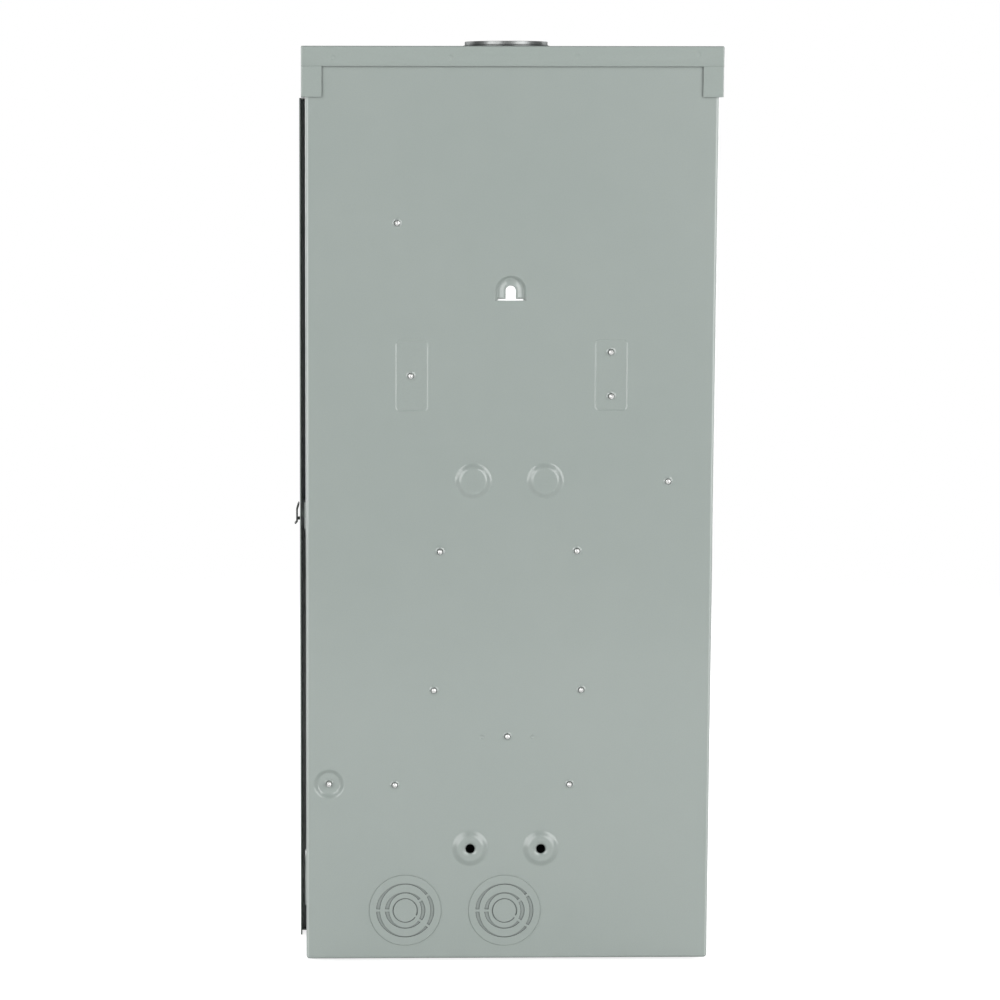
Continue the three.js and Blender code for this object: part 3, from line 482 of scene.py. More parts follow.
def finished(name, bm, materials, body="root", replaced=(), thickness=0.0, edge=0.0):
    """Turns millimetre mesh data into a piece that rides a body and stands for its CAD nodes."""
    bmesh.ops.scale(bm, vec=(MM, MM, MM), verts=bm.verts)
    mesh = bpy.data.meshes.new(name)
    bm.to_mesh(mesh)
    bm.free()
    for material in materials:
        mesh.materials.append(material)
    piece = shown(name, mesh)
    if thickness:
        wall = piece.modifiers.new("sheet", "SOLIDIFY")
        wall.thickness = thickness * MM
        wall.offset = -1
        wall.use_even_offset = True
        wall.use_quality_normals = True
    if edge:
        round_off(piece, edge).miter_outer = "MITER_ARC"
    shade(piece)
    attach(piece, body)
    if replaced:
        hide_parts(*replaced)
    return piece


def loft(bm, rings, closed=True):
    """Joins rings of the same count, one after another, and caps both ends if closed."""
    faces = []
    for first, second in zip(rings, rings[1:]):
        faces += bridge(bm, first, second)
    if closed:
        faces += [bm.faces.new(rings[0]), bm.faces.new(rings[-1])]
    return faces


def ring_at(bm, outline, axis, level):
    verts = []
    for u, v in outline:
        point = [u, v]
        point.insert(axis, level)
        verts.append(bm.verts.new(point))
    return verts


def lathe(bm, profile, u, v, axis=Y, count=32, closed=True):
    """Spins a profile of (radius, level) about a line along the axis, through u and v."""
    rings = [ring_at(bm, circle(u, v, radius, count), axis, level) for radius, level in profile]
    loft(bm, rings, closed)
    return rings


def tube(bm, u, v, radius, bore, low, high, axis=Z, count=32):
    lip = 0.25
    profile = [(bore, low), (radius - lip, low), (radius, low + lip)]
    profile += [(radius, high - lip), (radius - lip, high), (bore, high)]
    rings = lathe(bm, profile, u, v, axis, count, closed=False)
    bridge(bm, rings[-1], rings[0])


def prism(bm, outline, low, high, axis=Z):
    """A closed prism; gives the side faces in the order of the outline's edges."""
    ends = [ring_at(bm, outline, axis, level) for level in (low, high)]
    sides = bridge(bm, *ends)
    for end in ends:
        bm.faces.new(end)
    return sides


def brick(bm, low, high):
    outline = [(low[0], low[1]), (high[0], low[1]), (high[0], high[1]), (low[0], high[1])]
    return prism(bm, outline, low[2], high[2])


def sunk(panel, outline, depth):
    """A straight-walled pocket with a flat floor."""
    panel.press([(outline, 0.0), (outline, -depth)])


# ---------------------------------------------------------------- forms in the back sheet

BEND = 3.0
RISE = {"foot": 17.0, "flat": 10.2, "height": 3.0}
# The radii and heights of the soft lip round a mounting hole, down to the hole itself.
HOLE_LIP = ((7.6, 3.0), (6.4, 2.75), (5.2, 2.3), (4.05, 1.7))
RECESS = {"foot": 14.3, "flat": 9.0, "height": -3.0}
PAD = {"half": 13.2, "tall": 30.4, "corner": 2.6, "border": 1.5, "depth": 0.65}
LOCATOR = ((3.0, 0), (2.4, 0.16), (1.9, 0.1), (1.3, -0.35), (0.7, -0.5))
KEYHOLE = {"sill": 186.5, "shelf": 187.8, "spring": 194.6, "radius": 14.2, "draft": 3.2, "depth": 3.5}
KEYHOLE_SLOT = {"half": 4.35, "spring": 195.0, "rim": 9.8, "rim_top": 6.1, "rim_height": 1.6}
KNOCKOUT_EDGE = ((32.7, 0.0), (32.5, 0.25), (32.2, 0.8), (32.0, 1.0))
KNOCKOUT_HEIGHT = 1.0
# Each ring of a knockout: mean radius, half width across and up, and the angles of its ties.
KNOCKOUT_RINGS = (
    (24.4, 1.75, 0.5, (0, 145, 215)),
    (16.3, 1.85, 0.5, (0, 145, 215)),
    (10.9, 0.55, 0.4, (210,)),
)
EVEN_RINGS = (
    (24.9, 0.55, 0.55, (20, 140, 260)),
    (17.2, 0.55, 0.55, (80, 200, 320)),
    (11.1, 0.5, 0.5, (20, 200)),
)
TIE = 2.2
GROOVE = {"depth": 1.0, "taper": 0.8}
BURR = {"foot": 4.8, "height": 0.75, "hole": 2.5, "ragged": 0.35, "count": 28}


def swell(u, v, foot, flat, height, steps=12):
    """The stages of a round form with soft shoulders, pressed in where its height is negative."""
    return [(circle(u, v, foot + (flat - foot) * t), height * ease(t)) for t in fractions(steps)]


def circles(u, v, profile, count=72):
    """The stages of a round form, from its radii and heights."""
    return [(circle(u, v, radius, count), height) for radius, height in profile]


def burr(panel, u, v, base, hosts, seed):
    """The torn lip that a screw leaves round its hole."""
    draw = random.Random(seed)
    foot, hole, count = BURR["foot"], BURR["hole"], BURR["count"]
    ragged = [1 + BURR["ragged"] * draw.uniform(-1, 1) for _ in range(count)]
    rings = []
    for t in (0.0, 0.35, 0.7, 1.0):
        ring = panel.ring(circle(u, v, foot + (hole - foot) * t, count), base)
        for vert, rag in zip(ring, ragged):
            vert.co[panel.axis] += panel.sign * BURR["height"] * ease(t) * rag
        rings.append(ring)
    loft(panel.bm, rings, closed=False)
    hosts.append(rings[0])


def groove(panel, u, v, ring, start, end, base, hosts):
    """A crescent groove of a knockout, between two ties. It is widest across and narrow up and down."""
    radius, wide, narrow = ring
    steps = max(6, int((end - start) / math.radians(4)))
    inner_edge, outer_edge = [], []
    for k in range(steps + 1):
        angle = start + (end - start) * k / steps
        half = narrow + (wide - narrow) * math.cos(angle) ** 2
        outer_edge.append((angle, radius + half))
        inner_edge.append((angle, radius - half))
    mouth = outer_edge + inner_edge[::-1]
    bottom = [(angle, radius + (away - radius) * GROOVE["taper"]) for angle, away in mouth]
    rim = panel.ring(polar(u, v, mouth), base)
    floor = panel.ring(polar(u, v, bottom), base - GROOVE["depth"])
    # The groove's walls and floor take the darker copies of the enamel: painted shade.
    for face in bridge(panel.bm, rim, floor):
        face.material_index = GROOVE_WALL
    for face in fill(panel.bm, [floor]):
        face.material_index = GROOVE_FLOOR
    hosts.append(rim)


def knockout(panel, u, v, scale=1.0, rings=KNOCKOUT_RINGS):
    """A round raised disc with concentric grooves, each broken by its ties."""
    hosts = []
    face = panel.form(circles(u, v, [(radius * scale, height) for radius, height in KNOCKOUT_EDGE], 96))
    for radius, wide, narrow, ties in rings:
        ring = (radius * scale, wide, narrow)
        half = TIE / 2 / ring[0]
        for tie, following in zip(ties, (*ties[1:], ties[0] + 360)):
            start, end = math.radians(tie) + half, math.radians(following) - half
            groove(panel, u, v, ring, start, end, KNOCKOUT_HEIGHT, hosts)
    fill(panel.bm, [face, *hosts])


def pad(panel, u, v, screws, steps=4):
    """A flat seat coined inward, with the points of its screws coming through."""
    stages = []
    for t in fractions(steps):
        grow = PAD["border"] * (1 - t)
        outline = rounded(u, v, PAD["half"] + grow, PAD["tall"] + grow, PAD["corner"] + grow)
        stages.append((outline, -PAD["depth"] * ease(t)))
    hosts = []
    floor = panel.form(stages)
    for screw in screws:
        burr(panel, *screw, -PAD["depth"], hosts, seed=int(screw[1] * 10))
    fill(panel.bm, [floor, *hosts])


def keyhole(panel, u, steps=9):
    """The hanging slot: an arched pocket, a raised rim round its slot, and a slit along its sill."""
    pocket, slot = KEYHOLE, KEYHOLE_SLOT
    sill, shelf, depth = pocket["sill"], pocket["shelf"], pocket["depth"]
    stages = []
    for t in fractions(steps):
        radius = pocket["radius"] - pocket["draft"] * t
        stages.append((arch(u, shelf if t == 1 else sill, pocket["spring"], radius), -depth * ease(t)))
    for t in fractions(steps):
        radius = slot["rim"] + (slot["rim_top"] - slot["rim"]) * t
        stages.append((arch(u, shelf, slot["spring"], radius), slot["rim_height"] * t - depth))
    for wider, lower in ((0.4, 0.1), (0.0, 0.6)):
        outline = arch(u, shelf, slot["spring"], slot["half"] + wider)
        stages.append((outline, slot["rim_height"] - depth - lower))
    rings = [panel.ring(outline, height) for outline, height in stages]
    for outer, inner in zip(rings, rings[1:]):
        bridge(panel.bm, outer, inner, closed=False)
    panel.holes.append(rings[0])


# ---------------------------------------------------------------- enclosure

BACK_SCREWS = [name for name in frame["nodes"] if "_screw" in name and not name.startswith("deadfront")]
BOX = {"depth": 112.0, "top": 404.0, "lip": 14.0, "sill": -370.0, "header": 352.0, "corner": 4}
COVER_SCREWS = ((172, 300), (-172, 300), (172, -340), (-172, -340))
PADS = ((87.35, 120.2), (-88.85, 120.8))
BOSSES = ((32.6, 26.6), (-31.3, 26.9))
HOLE_BOSSES = ((33.8, -306.0), (-29.8, -306.2))
KNOCKOUTS = ((92.0, -362.8), (2.5, -363.2))
LOCATORS = ((23.8, -204.0), (-21.5, -204.1))
KEYHOLE_AT = 0.3
UNDERSIDE_KNOCKOUTS = (-105, 0, 105)
FLANK_KNOCKOUT = {"u": -52, "v": -345, "scale": 0.78}


def back_screw_place(name):
    middle = cad_middle(name)
    return middle.x, middle.z


def box_sheet():
    """The box's folded sheet, before anything is let into it."""
    low, high = cad_box("box_body")
    half, bottom, front, top = high.x, low.z, -BOX["depth"], BOX["top"]
    shell = Shell()
    shell.flat(Y, 0, (-half, bottom), (half, top))
    shell.flat(Z, bottom, (-half, front), (half, 0))
    for side in (-half, half):
        shell.flat(X, side, (front, bottom), (0, top))
    shell.flat(Y, front, (-half, bottom), (half, top))
    shell.bend(BEND, highest=top - 1)
    return shell


def box_front(panel):
    """The wide opening, and the holes that the dead front is screwed to."""
    reach = cad_box("box_body")[1].x - BOX["lip"]
    panel.cut(framed(-reach, reach, BOX["sill"], BOX["header"], BOX["corner"]))
    for u, v in COVER_SCREWS:
        panel.cut(circle(u, v, 2.3, 20))
    panel.close()


def hole_boss(back, u, v):
    """A boss whose crown is turned down to a mounting hole."""
    crown = back.form(swell(u, v, **RISE))
    rings = [back.ring(outline, height) for outline, height in circles(u, v, HOLE_LIP)]
    fill(back.bm, [crown, rings[0]])
    loft(back.bm, rings, closed=False)


def ground_recess(back, u, v):
    """The pressed-in dish that the ground lug's screw comes through."""
    hosts = []
    floor = back.form(swell(u, v, **RECESS))
    burr(back, u, v, RECESS["height"], hosts, seed=7)
    fill(back.bm, [floor, *hosts])


def box_back(back):
    """Everything that shows in the back sheet."""
    screws = {name: back_screw_place(name) for name in BACK_SCREWS}
    placed = {screws["ground_lug_screw"]}
    for u, v in PADS:
        seated = [p for p in screws.values() if abs(p[0] - u) < PAD["half"] and abs(p[1] - v) < PAD["tall"]]
        placed.update(seated)
        pad(back, u, v, seated)
    for u, v in BOSSES:
        back.press(swell(u, v, **RISE))
    for u, v in HOLE_BOSSES:
        hole_boss(back, u, v)
    ground_recess(back, *screws["ground_lug_screw"])
    keyhole(back, KEYHOLE_AT)
    for u, v in KNOCKOUTS:
        knockout(back, u, v)
    for u, v in LOCATORS:
        back.press(circles(u, v, LOCATOR, 16))
    for index, place in enumerate(screws.values()):
        if place not in placed:
            burr(back, *place, 0.0, back.holes, seed=index)
    back.close()


def box_body():
    shell = box_sheet()
    box_front(shell.panel(Y, -1))
    box_back(shell.panel(Y, 1))
    underside = shell.panel(Z, -1)
    for u in UNDERSIDE_KNOCKOUTS:
        knockout(underside, u, -58, rings=EVEN_RINGS)
    underside.close()
    for sign in (-1, 1):
        flank = shell.panel(X, sign)
        knockout(flank, rings=EVEN_RINGS, **FLANK_KNOCKOUT)
        flank.close()
    outward(shell.bm, (0, 0, -100), (0, 1, 0))
    finished("enclosure_box", shell.bm, [PAINT, PAINT_SHADED_WALL, PAINT_SHADED_FLOOR, PAINT_HIGHLIGHT],
             replaced=["box_body"], thickness=SHEET)


# The rear lip's lower edge, its fold and how far it turns in below that, and how far the tabs reach in.
LIP = {"low": 390.5, "fold": 404.0, "turn": 1.1, "tab": 18}
HUB_OPENING = 34
DIMPLES = ((157, 398), (54, 398), (-56, 399), (-162, 401))
DIMPLE = ((2.8, 0), (2.2, -0.1), (1.4, -0.5), (0.9, -0.56))


def top_cap():
    """The rain hood: its crown, its flanges, the lip behind, and the tabs that wrap round the box."""
    low, high = cad_box("top_cap")
    half, front, rear, base, top = high.x, low.y, high.y, low.z, high.z
    lip, fold, tab_plane = LIP["low"], LIP["fold"], rear - SHEET
    shell = Shell()
    shell.flat(Z, top, (-half, front), (half, rear))
    shell.face((-half, front, base), (half, front, base), (half, front, lip), (half, front, top),
               (-half, front, top), (-half, front, lip))
    shell.flat(Y, rear, (-half, lip), (half, top))
    for side in (-half, half):
        shell.face((side, front, lip), (side, front, top), (side, rear, top), (side, rear, lip),
                   (side, tab_plane, lip))
        shell.flat(X, side, (front, base), (tab_plane, lip))
        inner = math.copysign(half - LIP["tab"], side)
        shell.flat(Y, tab_plane, (side, base), (inner, lip))
    shell.bend(1.4, segments=5)
    hub = cad_middle("hub_closing_plate")
    crown = shell.panel(Z, 1)
    crown.cut(circle(hub.x, hub.y, HUB_OPENING))
    crown.close()
    flange = shell.panel(Y, 1)
    for u, v in DIMPLES:
        flange.press(circles(u, v, DIMPLE, 20))
    flange.close()
    for vert in shell.bm.verts:
        if vert.co.y > tab_plane + 0.1 and vert.co.z < fold:
            vert.co.y -= LIP["turn"] * (fold - vert.co.z) / (fold - lip)
    outward(shell.bm, (0, rear, 400), (0, 1, 0))
    finished("rain_hood", shell.bm, [PAINT_DULL] * HIGHLIGHT_SLOT + [PAINT_HIGHLIGHT],
             replaced=["top_cap"], thickness=SHEET)


def hub_plate():
    """The cast cup that closes the hub opening, with a bolt hole in its floor."""
    low, high = cad_box("hub_closing_plate")
    centre = (low + high) / 2
    flange = (high.x - low.x) / 2
    rim, wall, bolt_hole = 36.7, 1.2, 3.4
    floor = low.z + wall
    profile = [
        (bolt_hole, low.z), (flange - 0.3, low.z), (flange, low.z + 0.3), (flange, low.z + 0.8),
        (flange - 0.3, low.z + 1.0), (rim + 0.5, low.z + 1.1), (rim + 0.1, low.z + 1.5),
        (rim, low.z + 2.2), (rim, high.z - 0.5), (rim - 0.2, high.z - 0.1), (rim - 0.6, high.z),
        (rim - 1.0, high.z - 0.1), (rim - wall, high.z - 0.5), (rim - wall, floor + 0.8),
        (rim - wall - 0.8, floor), (16, floor), (14.5, floor + 0.5), (12, floor + 0.5), (10.5, floor),
        (bolt_hole, floor),
    ]
    bm = bmesh.new()
    rings = lathe(bm, profile, centre.x, centre.y, Z, 96, closed=False)
    bridge(bm, rings[-1], rings[0])
    outward(bm, (centre.x, centre.y + rim, high.z - 1), (0, 1, 0))
    finished("hub_closing_cap", bm, [HUB_METAL], replaced=["hub_closing_plate"])


DOOR = {"face": -119.0, "rear": -97.0, "turn": -113.5, "bend": 2.6}
DOOR_FORMS = {"border": 21.0, "slope": 3.0, "sink": 1.4, "corner": 10.0}
HINGE = {"x": -189.2, "y": -100.0, "barrel": 2.4, "bore": 1.5, "heights": (250, -270),
         "gap": 10.4, "length": 12.0}
LATCH_WINDOW = {"low": -23.0, "high": -12.0, "front": -110.0, "rear": -101.0}


def door_panel():
    """The door's pan: its face, with a border round a sunk field, its flanges and its turned ends."""
    low, high = cad_box("door")
    half, bottom, top = high.x, low.z, high.z
    front, rear, turn = DOOR["face"], DOOR["rear"], DOOR["turn"]
    shell = Shell()
    shell.flat(Y, front, (-half, bottom), (half, top))
    for side in (-half, half):
        shell.flat(X, side, (front, bottom), (rear, top))
    for level in (bottom, top):
        shell.flat(Z, level, (-half, front), (half, turn))
    shell.bend(DOOR["bend"])
    face = shell.panel(Y, -1)
    forms = DOOR_FORMS
    stages = []
    for t in fractions(8):
        inset = forms["border"] + forms["slope"] * t
        reach, corner = half - inset, forms["corner"] - 2 * t
        outline = framed(-reach, reach, bottom + inset, top - inset, corner, 8)
        stages.append((outline, -forms["sink"] * ease(t)))
    face.press(stages)
    face.close()
    flange = shell.panel(X, 1)
    window = LATCH_WINDOW
    flange.cut(framed(window["front"], window["rear"], window["low"], window["high"], 1.0))
    flange.close()
    outward(shell.bm, (0, front, 0), (0, -1, 0))
    finished("door_panel", shell.bm, [PAINT] * HIGHLIGHT_SLOT + [PAINT_HIGHLIGHT], body="door",
             replaced=["door"], thickness=SHEET)


def door_knuckles():
    """The curled barrels that the door turns on, each with the strap that carries it."""
    bm = bmesh.new()
    x, y, barrel = HINGE["x"], HINGE["y"], HINGE["barrel"]
    flange = 0.6 - cad_box("door")[1].x
    near, far = y - barrel, y - barrel + SHEET
    strap = [(x, near), (flange, near), (flange, far), (x + 1.9, far)]
    for height in HINGE["heights"]:
        for start in (height + HINGE["gap"], height - HINGE["gap"] - HINGE["length"]):
            end = start + HINGE["length"]
            tube(bm, x, y, barrel, HINGE["bore"], start, end)
            prism(bm, strap, start + 0.15, end - 0.15)
    outward(bm, (x - barrel, y, HINGE["heights"][0] + HINGE["gap"] + 6), (-1, 0, 0))
    finished("door_hinge_knuckles", bm, [PAINT], body="door")


# ---------------------------------------------------------------- dead front

TRAY = {"lip_half": 177.0, "lip_low": -381.0, "lip_high": 358.0, "lip_face": -113.8, "lip_corner": 4.0,
        "half": 163.0, "low": -365.8, "high": 346.8, "floor": -91.2, "bend": 1.5, "sheet": 1.2,
        "corner": 4.0}
# The left, right, low and high edges of the windows that the breakers' noses come through.
WINDOWS = ((-22, 22, 88.5, 151.5), (29, 63, -214, 40), (-63, -29, -214, 40))


def tray_bend(rise, fall, bend, steps=5):
    """The steps of the tray's wall: how far it stands outside the tray's outline, and at what level."""
    turns = [TAU / 4 * t for t in fractions(steps)]
    upper = [(bend * (1 - math.sin(turn)), rise + bend * (1 - math.cos(turn))) for turn in turns]
    return upper + [(-bend * (1 - math.cos(turn)), fall - bend * (1 - math.sin(turn))) for turn in turns]


def dead_front():
    """The pressed cover behind the door: a flat lip, and a tray with a window for each set of breakers."""
    t, bm = TRAY, bmesh.new()
    face = t["lip_face"]
    edge = []
    for grow, level in ((0, face + 0.9), (0, face + 0.5), (-0.5, face)):
        reach = t["lip_half"] + grow
        outline = framed(-reach, reach, t["lip_low"] - grow, t["lip_high"] + grow, t["lip_corner"] + grow)
        edge.append(ring_at(bm, outline, Y, level))
    loft(bm, edge, closed=False)
    rings = []
    for grow, level in tray_bend(face, t["floor"], t["bend"]):
        reach = t["half"] + grow
        outline = framed(-reach, reach, t["low"] - grow, t["high"] + grow, t["corner"] + grow)
        rings.append(ring_at(bm, outline, Y, level))
    loft(bm, rings, closed=False)
    holes = [ring_at(bm, circle(u, v, 2.6, 24), Y, face) for u, v in COVER_SCREWS]
    fill(bm, [edge[-1], rings[0], *holes])
    base = Panel(bm, rings[-1], Y, -1)
    for window in WINDOWS:
        base.cut(framed(*window, 0.8))
    base.close()
    outward(bm, (0, face, t["lip_high"] - 4), (0, -1, 0))
    finished("dead_front_cover", bm, [PAINT], replaced=["deadfront"], thickness=t["sheet"])


def filler_plate(node):
    """A snap-in blank over unused spaces, scored so that one space at a time can be broken out."""
    low, high = cad_box(node)
    plate = 1.4
    bm = bmesh.new()
    sides = brick(bm, low, (high.x, low.y + plate, high.z))
    face = opened(bm, sides[0], Y, -1)
    spaces = round((high.z - low.z) / POLE)
    pitch = (high.z - low.z) / spaces
    middle = (low.x + high.x) / 2
    for k in range(spaces):
        centre = low.z + pitch * (k + 0.5)
        outline = rounded(middle, centre, 15.0, pitch / 2 - 0.8, 1.5)
        crown = rounded(middle, centre, 14.4, pitch / 2 - 1.4, 1.2)
        face.press([(outline, 0.0), (outline, -0.5), (crown, -0.1)])
    face.close()
    brick(bm, (middle - 16.3, low.y + plate - 0.1, low.z + 3), (middle + 16.3, high.y, high.z - 1))
    outward(bm, (low.x, low.y + plate / 2, (low.z + high.z) / 2), (-1, 0, 0))
    finished(node + "_blank", bm, [FILLER], replaced=[node], edge=0.3)


# ---------------------------------------------------------------- breakers

BODY_OF = {node: body for body, nodes in frame["record"]["behaviour"]["bodies"].items() for node in nodes}
# The middle of a branch breaker's nose, and its section as seen from above.
NOSE_X = 46
BREAKER_SECTION = ((6, -34), (81, -34), (81, -78), (78, -82), (62.5, -86), (62.5, -94), (29.5, -94),
                   (29.5, -86), (6, -82))
NOSE_EDGE = 5
CHEEK_EDGE = 1
# Half of the gap between the poles of a two-pole breaker.
PARTING = 0.12


def slotted_face(bm, face, centre, half_u, half_v, depth):
    """A nose's face: a shallow dish round the slot that the handle moves in."""
    nose = opened(bm, face, Y, -1)
    u, v = centre
    nose.form([
        (rounded(u, v, half_u + 2.4, half_v + 2.2, 2.2), 0.0),
        (rounded(u, v, half_u + 1.9, half_v + 1.7, 1.8), -0.7),
        (rounded(u, v, half_u + 0.3, half_v + 0.3, 1.0), -0.7),
        (rounded(u, v, half_u, half_v, 0.8), -1.2),
        (rounded(u, v, half_u, half_v, 0.8), -depth),
    ])
    nose.close()


def terminal_screw(bm, u, v, level, radius):
    """A slotted binding screw, sunk in its well."""
    profile = [(radius, level + 6), (radius, level + 0.4), (radius - 0.4, level)]
    rings = lathe(bm, profile, u, v, Y, 24, closed=False)
    head = Panel(bm, rings[-1], Y, -1)
    sunk(head, rounded(u, v, radius * 0.78, 0.6, 0.1), 1.2)
    head.close()


def branch_breaker(node):
    low, high = cad_box(node)
    side = 1 if low.x > 0 else -1
    poles = round((high.z - low.z) / POLE)
    step = (high.z - low.z) / poles
    outline = [(side * x, y) for x, y in BREAKER_SECTION]
    bm = bmesh.new()
    for pole in range(poles):
        base = low.z + step * pole + (PARTING if pole else 0)
        end = low.z + step * (pole + 1) - (PARTING if pole + 1 < poles else 0)
        sides = prism(bm, outline, base, end)
        centre = (base + end) / 2
        half_slot, slot_centre = 6.0, centre
        if poles > 1:
            half_slot, slot_centre = 9.0, centre + (-3.4 if pole else 3.4)
        slotted_face(bm, sides[NOSE_EDGE], (side * NOSE_X, slot_centre), 7.2, half_slot, 13.0)
        cheek = opened(bm, sides[CHEEK_EDGE], X, side)
        sunk(cheek, rounded(-56, centre, 7.0, 6.4, 2.0), 5.0)
        sunk(cheek, rounded(-71, centre, 3.4, 8.0, 0.8), 1.0)
        cheek.close()
        terminal_screw(bm, side * 71.5, centre, -84.6, 3.6)
    outward(bm, (side * 40, -34, (low.z + high.z) / 2), (0, 1, 0))
    finished(node + "_case", bm, [BREAKER], replaced=[node], edge=0.45)


GRIP = {"hub": 4.6, "thick": 5.6, "reach": 21.5, "tip": 1.6, "ridges": 4}
MAIN_GRIP = {"hub": 6.5, "thick": 9.0, "reach": 26.0, "tip": 2.4, "ridges": 5}


def handle_outline(thick, reach, tip, ridges):
    """Half-width against reach: a waist, then finger ridges, then a round tip."""
    points = [(thick * 0.5, 0.0), (thick * 0.46, reach * 0.35), (thick * 0.42, reach * 0.48)]
    start, end = reach * 0.52, reach - tip
    for k in range(ridges):
        near = start + (end - start) * k / ridges
        far = start + (end - start) * (k + 0.6) / ridges
        points += [(thick * 0.5, near), (thick * 0.5, far), (thick * 0.42, far + 0.1)]
    for k in range(5):
        angle = TAU / 4 * (k + 1) / 6
        points.append((thick * 0.5 - tip * (1 - math.cos(angle)), end + tip * math.sin(angle)))
    return points


def handle(node, centre, half, lean, grip):
    """A breaker's handle: its drum, and the ridged stem that the finger pushes."""
    u, v, w = centre
    hub, reach = grip["hub"], grip["reach"]
    bm = bmesh.new()
    edge = handle_outline(grip["thick"], reach, grip["tip"], grip["ridges"])
    outline = [(width, -far) for width, far in edge] + [(-width, -far) for width, far in edge[::-1]]
    turn = Matrix.Rotation(math.radians(lean), 2)
    stem = [turn @ Vector(point) for point in outline]
    prism(bm, [(u + x, v + y) for x, y in stem], w - half, w + half)
    drum = [(hub - 0.3, w - half), (hub, w - half + 0.3), (hub, w + half - 0.3), (hub - 0.3, w + half)]
    lathe(bm, drum, u, v, Z, 40)
    tip = turn @ Vector((0, -reach))
    outward(bm, (u + tip.x, v + tip.y, w), (tip.x, tip.y, 0))
    finished(node + "_grip", bm, [TOGGLE], body=BODY_OF[node], replaced=[node], edge=0.35)


def branch_handle(node):
    low, high = cad_box(node)
    side = 1 if low.x + high.x > 0 else -1
    handle(node, (side * NOSE_X, -84.5, (low.z + high.z) / 2), (high.z - low.z) / 2, -side * 14, GRIP)


MAIN = {"face": -86.0, "nose": -94.0, "low": 89.0, "high": 151.0, "half": 21.5}
# Across, on each side: the wells of the line lugs, the rivets, and the sunk panels beside the nose.
MAIN_SPREAD = {"well": 26, "rivet": 41, "panel": 36}


def main_breaker():
    low, high = cad_box("main_breaker")
    face, nose_low, nose_high = MAIN["face"], MAIN["low"], MAIN["high"]
    middle = (nose_low + nose_high) / 2
    bm = bmesh.new()
    sides = brick(bm, (low.x, face, low.z), high)
    cover = opened(bm, sides[0], Y, -1)
    well, rivet, side_panel = (MAIN_SPREAD[key] for key in ("well", "rivet", "panel"))
    for u in (-well, well):
        cover.form(circles(u, high.z - 13, [(6.4, 0.0), (5.4, -0.8), (5.0, -1.0), (5.0, -20.0)], 28))
    for u in (-rivet, rivet):
        for v in (low.z + 9, high.z - 30):
            sunk(cover, circle(u, v, 3.6, 20), 2.4)
    for u in (-side_panel, side_panel):
        sunk(cover, rounded(u, middle, 8.5, 16, 1.0), 0.35)
    cover.close()
    line_end = opened(bm, max(bm.faces, key=lambda f: f.calc_center_median().z), Z, 1)
    for u in (-well, well):
        sunk(line_end, rounded(u, -49, 9.0, 9.0, 8.9, 8), 26.0)
    line_end.close()
    nose_sides = brick(bm, (-MAIN["half"], MAIN["nose"], nose_low), (MAIN["half"], face + 1, nose_high))
    slotted_face(bm, nose_sides[0], (0, middle), 11.0, 12.5, 16.0)
    outward(bm, (0, high.y, low.z + 20), (0, 1, 0))
    finished("main_breaker_case", bm, [BREAKER], replaced=["main_breaker"], edge=0.6)


def main_handle():
    middle = (MAIN["low"] + MAIN["high"]) / 2
    handle("main_handle", (0, -82, middle), 12.0, -16, MAIN_GRIP)


# ---------------------------------------------------------------- fasteners

THREAD = {"shank": 2.2, "pitch": 1.1, "depth": 0.35, "cone": 1.15, "step": 0.16}
# The inner pan head: its radius at the top and at the rim, and its height.
HEAD = {"top": 4.0, "rim": 4.4, "height": 2.2}


def screw_profile(start, tip):
    """The radii and levels of a screw, from its head to its point."""
    shank, step = THREAD["shank"], THREAD["step"]
    seat = start + HEAD["height"]
    profile = [(HEAD["top"], start), (HEAD["rim"], start + 0.7), (HEAD["rim"], seat - 0.2), (shank, seat)]
    steps = int((tip - seat) / step)
    for k in range(1, steps + 1):
        y = seat + (tip - seat) * k / steps
        profile.append((shank * min(1.0, max(0.12, (tip - y) / THREAD["cone"])), y))
    return profile


def screw_point(name, count=28):
    """A thread-forming screw: a pan head inside, and a threaded point that comes out of the sheet."""
    low, high = cad_box(name)
    u, v = back_screw_place(name)
    shank, pitch, depth = THREAD["shank"], THREAD["pitch"], THREAD["depth"]
    draw = random.Random(int(abs(u) * 10 + abs(v)))
    turn, lean_u, lean_v = draw.uniform(0, TAU), draw.uniform(-0.1, 0.1), draw.uniform(-0.1, 0.1)
    bm = bmesh.new()
    rings = []
    for index, (radius, y) in enumerate(screw_profile(low.y, high.y)):
        threaded = index > 3
        beyond = max(0.0, y)
        edge = []
        for k in range(count):
            angle = TAU * k / count
            phase = (y / pitch - (angle + turn) / TAU) % 1.0
            ridge = depth * abs(2 * phase - 1) * min(1.0, radius / shank + 0.3) if threaded else 0.0
            edge.append((angle, max(0.15, radius - ridge)))
        rings.append(ring_at(bm, polar(u + lean_u * beyond, v + lean_v * beyond, edge), Y, y))
    loft(bm, rings)
    outward(bm, (u, low.y, v), (0, -1, 0))
    finished(name + "_zinc", bm, [STEEL_SCREW], replaced=[name])


def cross_outline(u, v, arm, width):
    quarter = [(arm, -width), (arm, width), (width, width)]
    points = []
    for k in range(4):
        turn = Matrix.Rotation(TAU / 4 * k, 2)
        for point in quarter:
            x, y = turn @ Vector(point)
            points.append((u + x, v + y))
    return points


